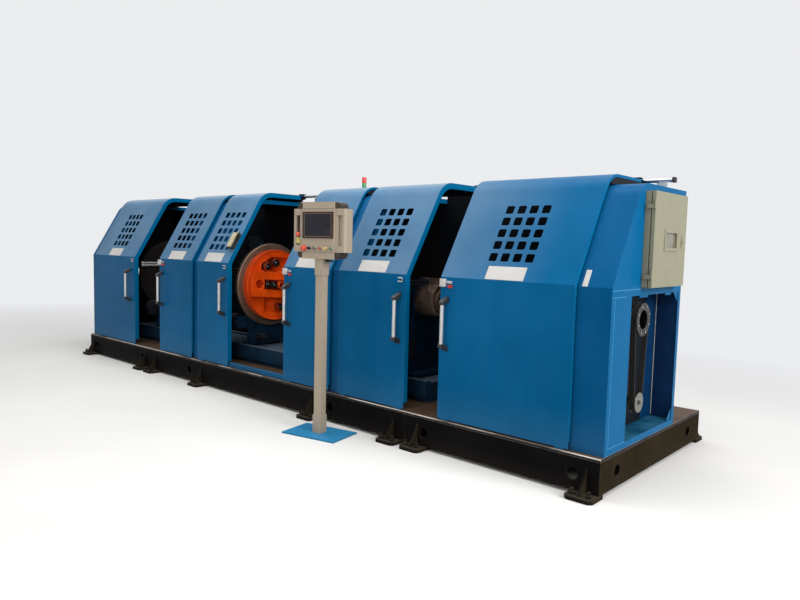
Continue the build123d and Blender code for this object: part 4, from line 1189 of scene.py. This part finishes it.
foot_bolt_out = 0.068
foot_bolt_half_pitch = 0.055
foot_places = (0.085, 1.392, 1.628, 2.545, 4.255, 5.172, 5.408, 6.715)
base_width = 1.7
foot_bolt = ((0.011, 0.004, 0.062, 12), (0.020, 0.025, 0.028, 20), (0.018, 0.028, 0.044, 6))


def foot_bolts(b):
    """Studs with washers and nuts in the holes of the feet."""
    for foot in foot_places:
        for x in (foot - foot_bolt_half_pitch, foot + foot_bolt_half_pitch):
            for y in (-foot_bolt_out, base_width + foot_bolt_out):
                turned(b, Matrix.Translation((x, y, 0)), foot_bolt)


piece("foot_bolts", foot_bolts, base_black, "frame", 0.0008, 1)


# Light, floor and background

floor_half = 60
floor_middle_x = 3.4
floor_middle_y = 0.2
floor_stretch = 1.7
fade_start = 2.6
fade_end = 6.5
lighting_strength = 0.34
seen_strength = 0.86

# Lamps: name, place, what they point at, size and power
lamps = (
    ("roof_light", (3.4, -0.6, 7.5), (3.4, 0.6, 1), (11, 5), 690),
    ("end_light", (12.5, 0.4, 4.2), (6.0, 0.6, 0.9), (4, 4), 660),
    ("front_light", (8.0, -8.0, 4.0), (4.6, 0, 1), (5, 4), 50),
    ("opening_light", (6.6, -4.4, 2.6), (3.2, 0.5, 1.0), (2.5, 2), 75),
)


def add_floor():
    """A pale floor that keeps the shadow and fades into the even background."""
    floor_mesh = bpy.data.meshes.new("floor")
    corners = [(x * floor_half, y * floor_half, 0) for x, y in ((-1, -1), (1, -1), (1, 1), (-1, 1))]
    floor_mesh.from_pydata(corners, [], [(0, 1, 2, 3)])
    floor = bpy.data.objects.new("floor", floor_mesh)
    bpy.context.scene.collection.objects.link(floor)
    f = Finish("floor")
    shade = f.mix(f.spread(f.noise(0.6, 4), 0.3, 0.7), (0.58, 0.57, 0.55), (0.62, 0.61, 0.59))
    f.set(Base_Color=shade, Roughness=0.75, Specular_IOR_Level=0.2)
    out = f.maths("DIVIDE", f.maths("SUBTRACT", f.axis("X"), floor_middle_x), floor_stretch)
    side = f.maths("SUBTRACT", f.axis("Y"), floor_middle_y)
    fade = f.spread(f.length(out, side), fade_start, fade_end)
    clear = f.add("ShaderNodeBsdfTransparent")
    blend = f.add("ShaderNodeMixShader")
    f.feed(blend.inputs[0], f.maths("POWER", fade, 0.6))
    f.feed(blend.inputs[1], f.shader.outputs[0])
    f.feed(blend.inputs[2], clear.outputs[0])
    f.feed(f.tree.nodes["Material Output"].inputs["Surface"], blend.outputs[0])
    floor.data.materials.append(f.material)


def add_background():
    """An even background, dimmer as a light than as it is seen or mirrored."""
    world = bpy.data.worlds.new("world")
    bpy.context.scene.world = world
    world.use_nodes = True
    tree = world.node_tree
    back = tree.nodes["Background"]
    rays = tree.nodes.new("ShaderNodeLightPath")
    seen = rays.outputs["Is Camera Ray"]
    for kind in ("Is Glossy Ray", "Is Transmission Ray"):
        either = tree.nodes.new("ShaderNodeMath")
        either.operation = "MAXIMUM"
        tree.links.new(seen, either.inputs[0])
        tree.links.new(rays.outputs[kind], either.inputs[1])
        seen = either.outputs[0]
    strength = tree.nodes.new("ShaderNodeMapRange")
    tree.links.new(seen, strength.inputs["Value"])
    strength.inputs["To Min"].default_value = lighting_strength
    strength.inputs["To Max"].default_value = seen_strength
    tree.links.new(strength.outputs["Result"], back.inputs["Strength"])
    back.inputs["Color"].default_value = (0.97, 0.98, 1.0, 1)


def add_lamps():
    """Soft lamps over the machine, at its right end and in front."""
    for name, place, target, size, power in lamps:
        data = bpy.data.lights.new(name, "AREA")
        data.shape = "RECTANGLE"
        data.size, data.size_y = size
        data.energy = power
        lamp = bpy.data.objects.new(name, data)
        bpy.context.scene.collection.objects.link(lamp)
        lamp.location = place
        lamp.rotation_euler = (Vector(target) - Vector(place)).to_track_quat("-Z", "Y").to_euler()


add_floor()
add_background()
add_lamps()
bpy.context.scene.view_settings.view_transform = "Standard"

bpy.context.view_layer.update()
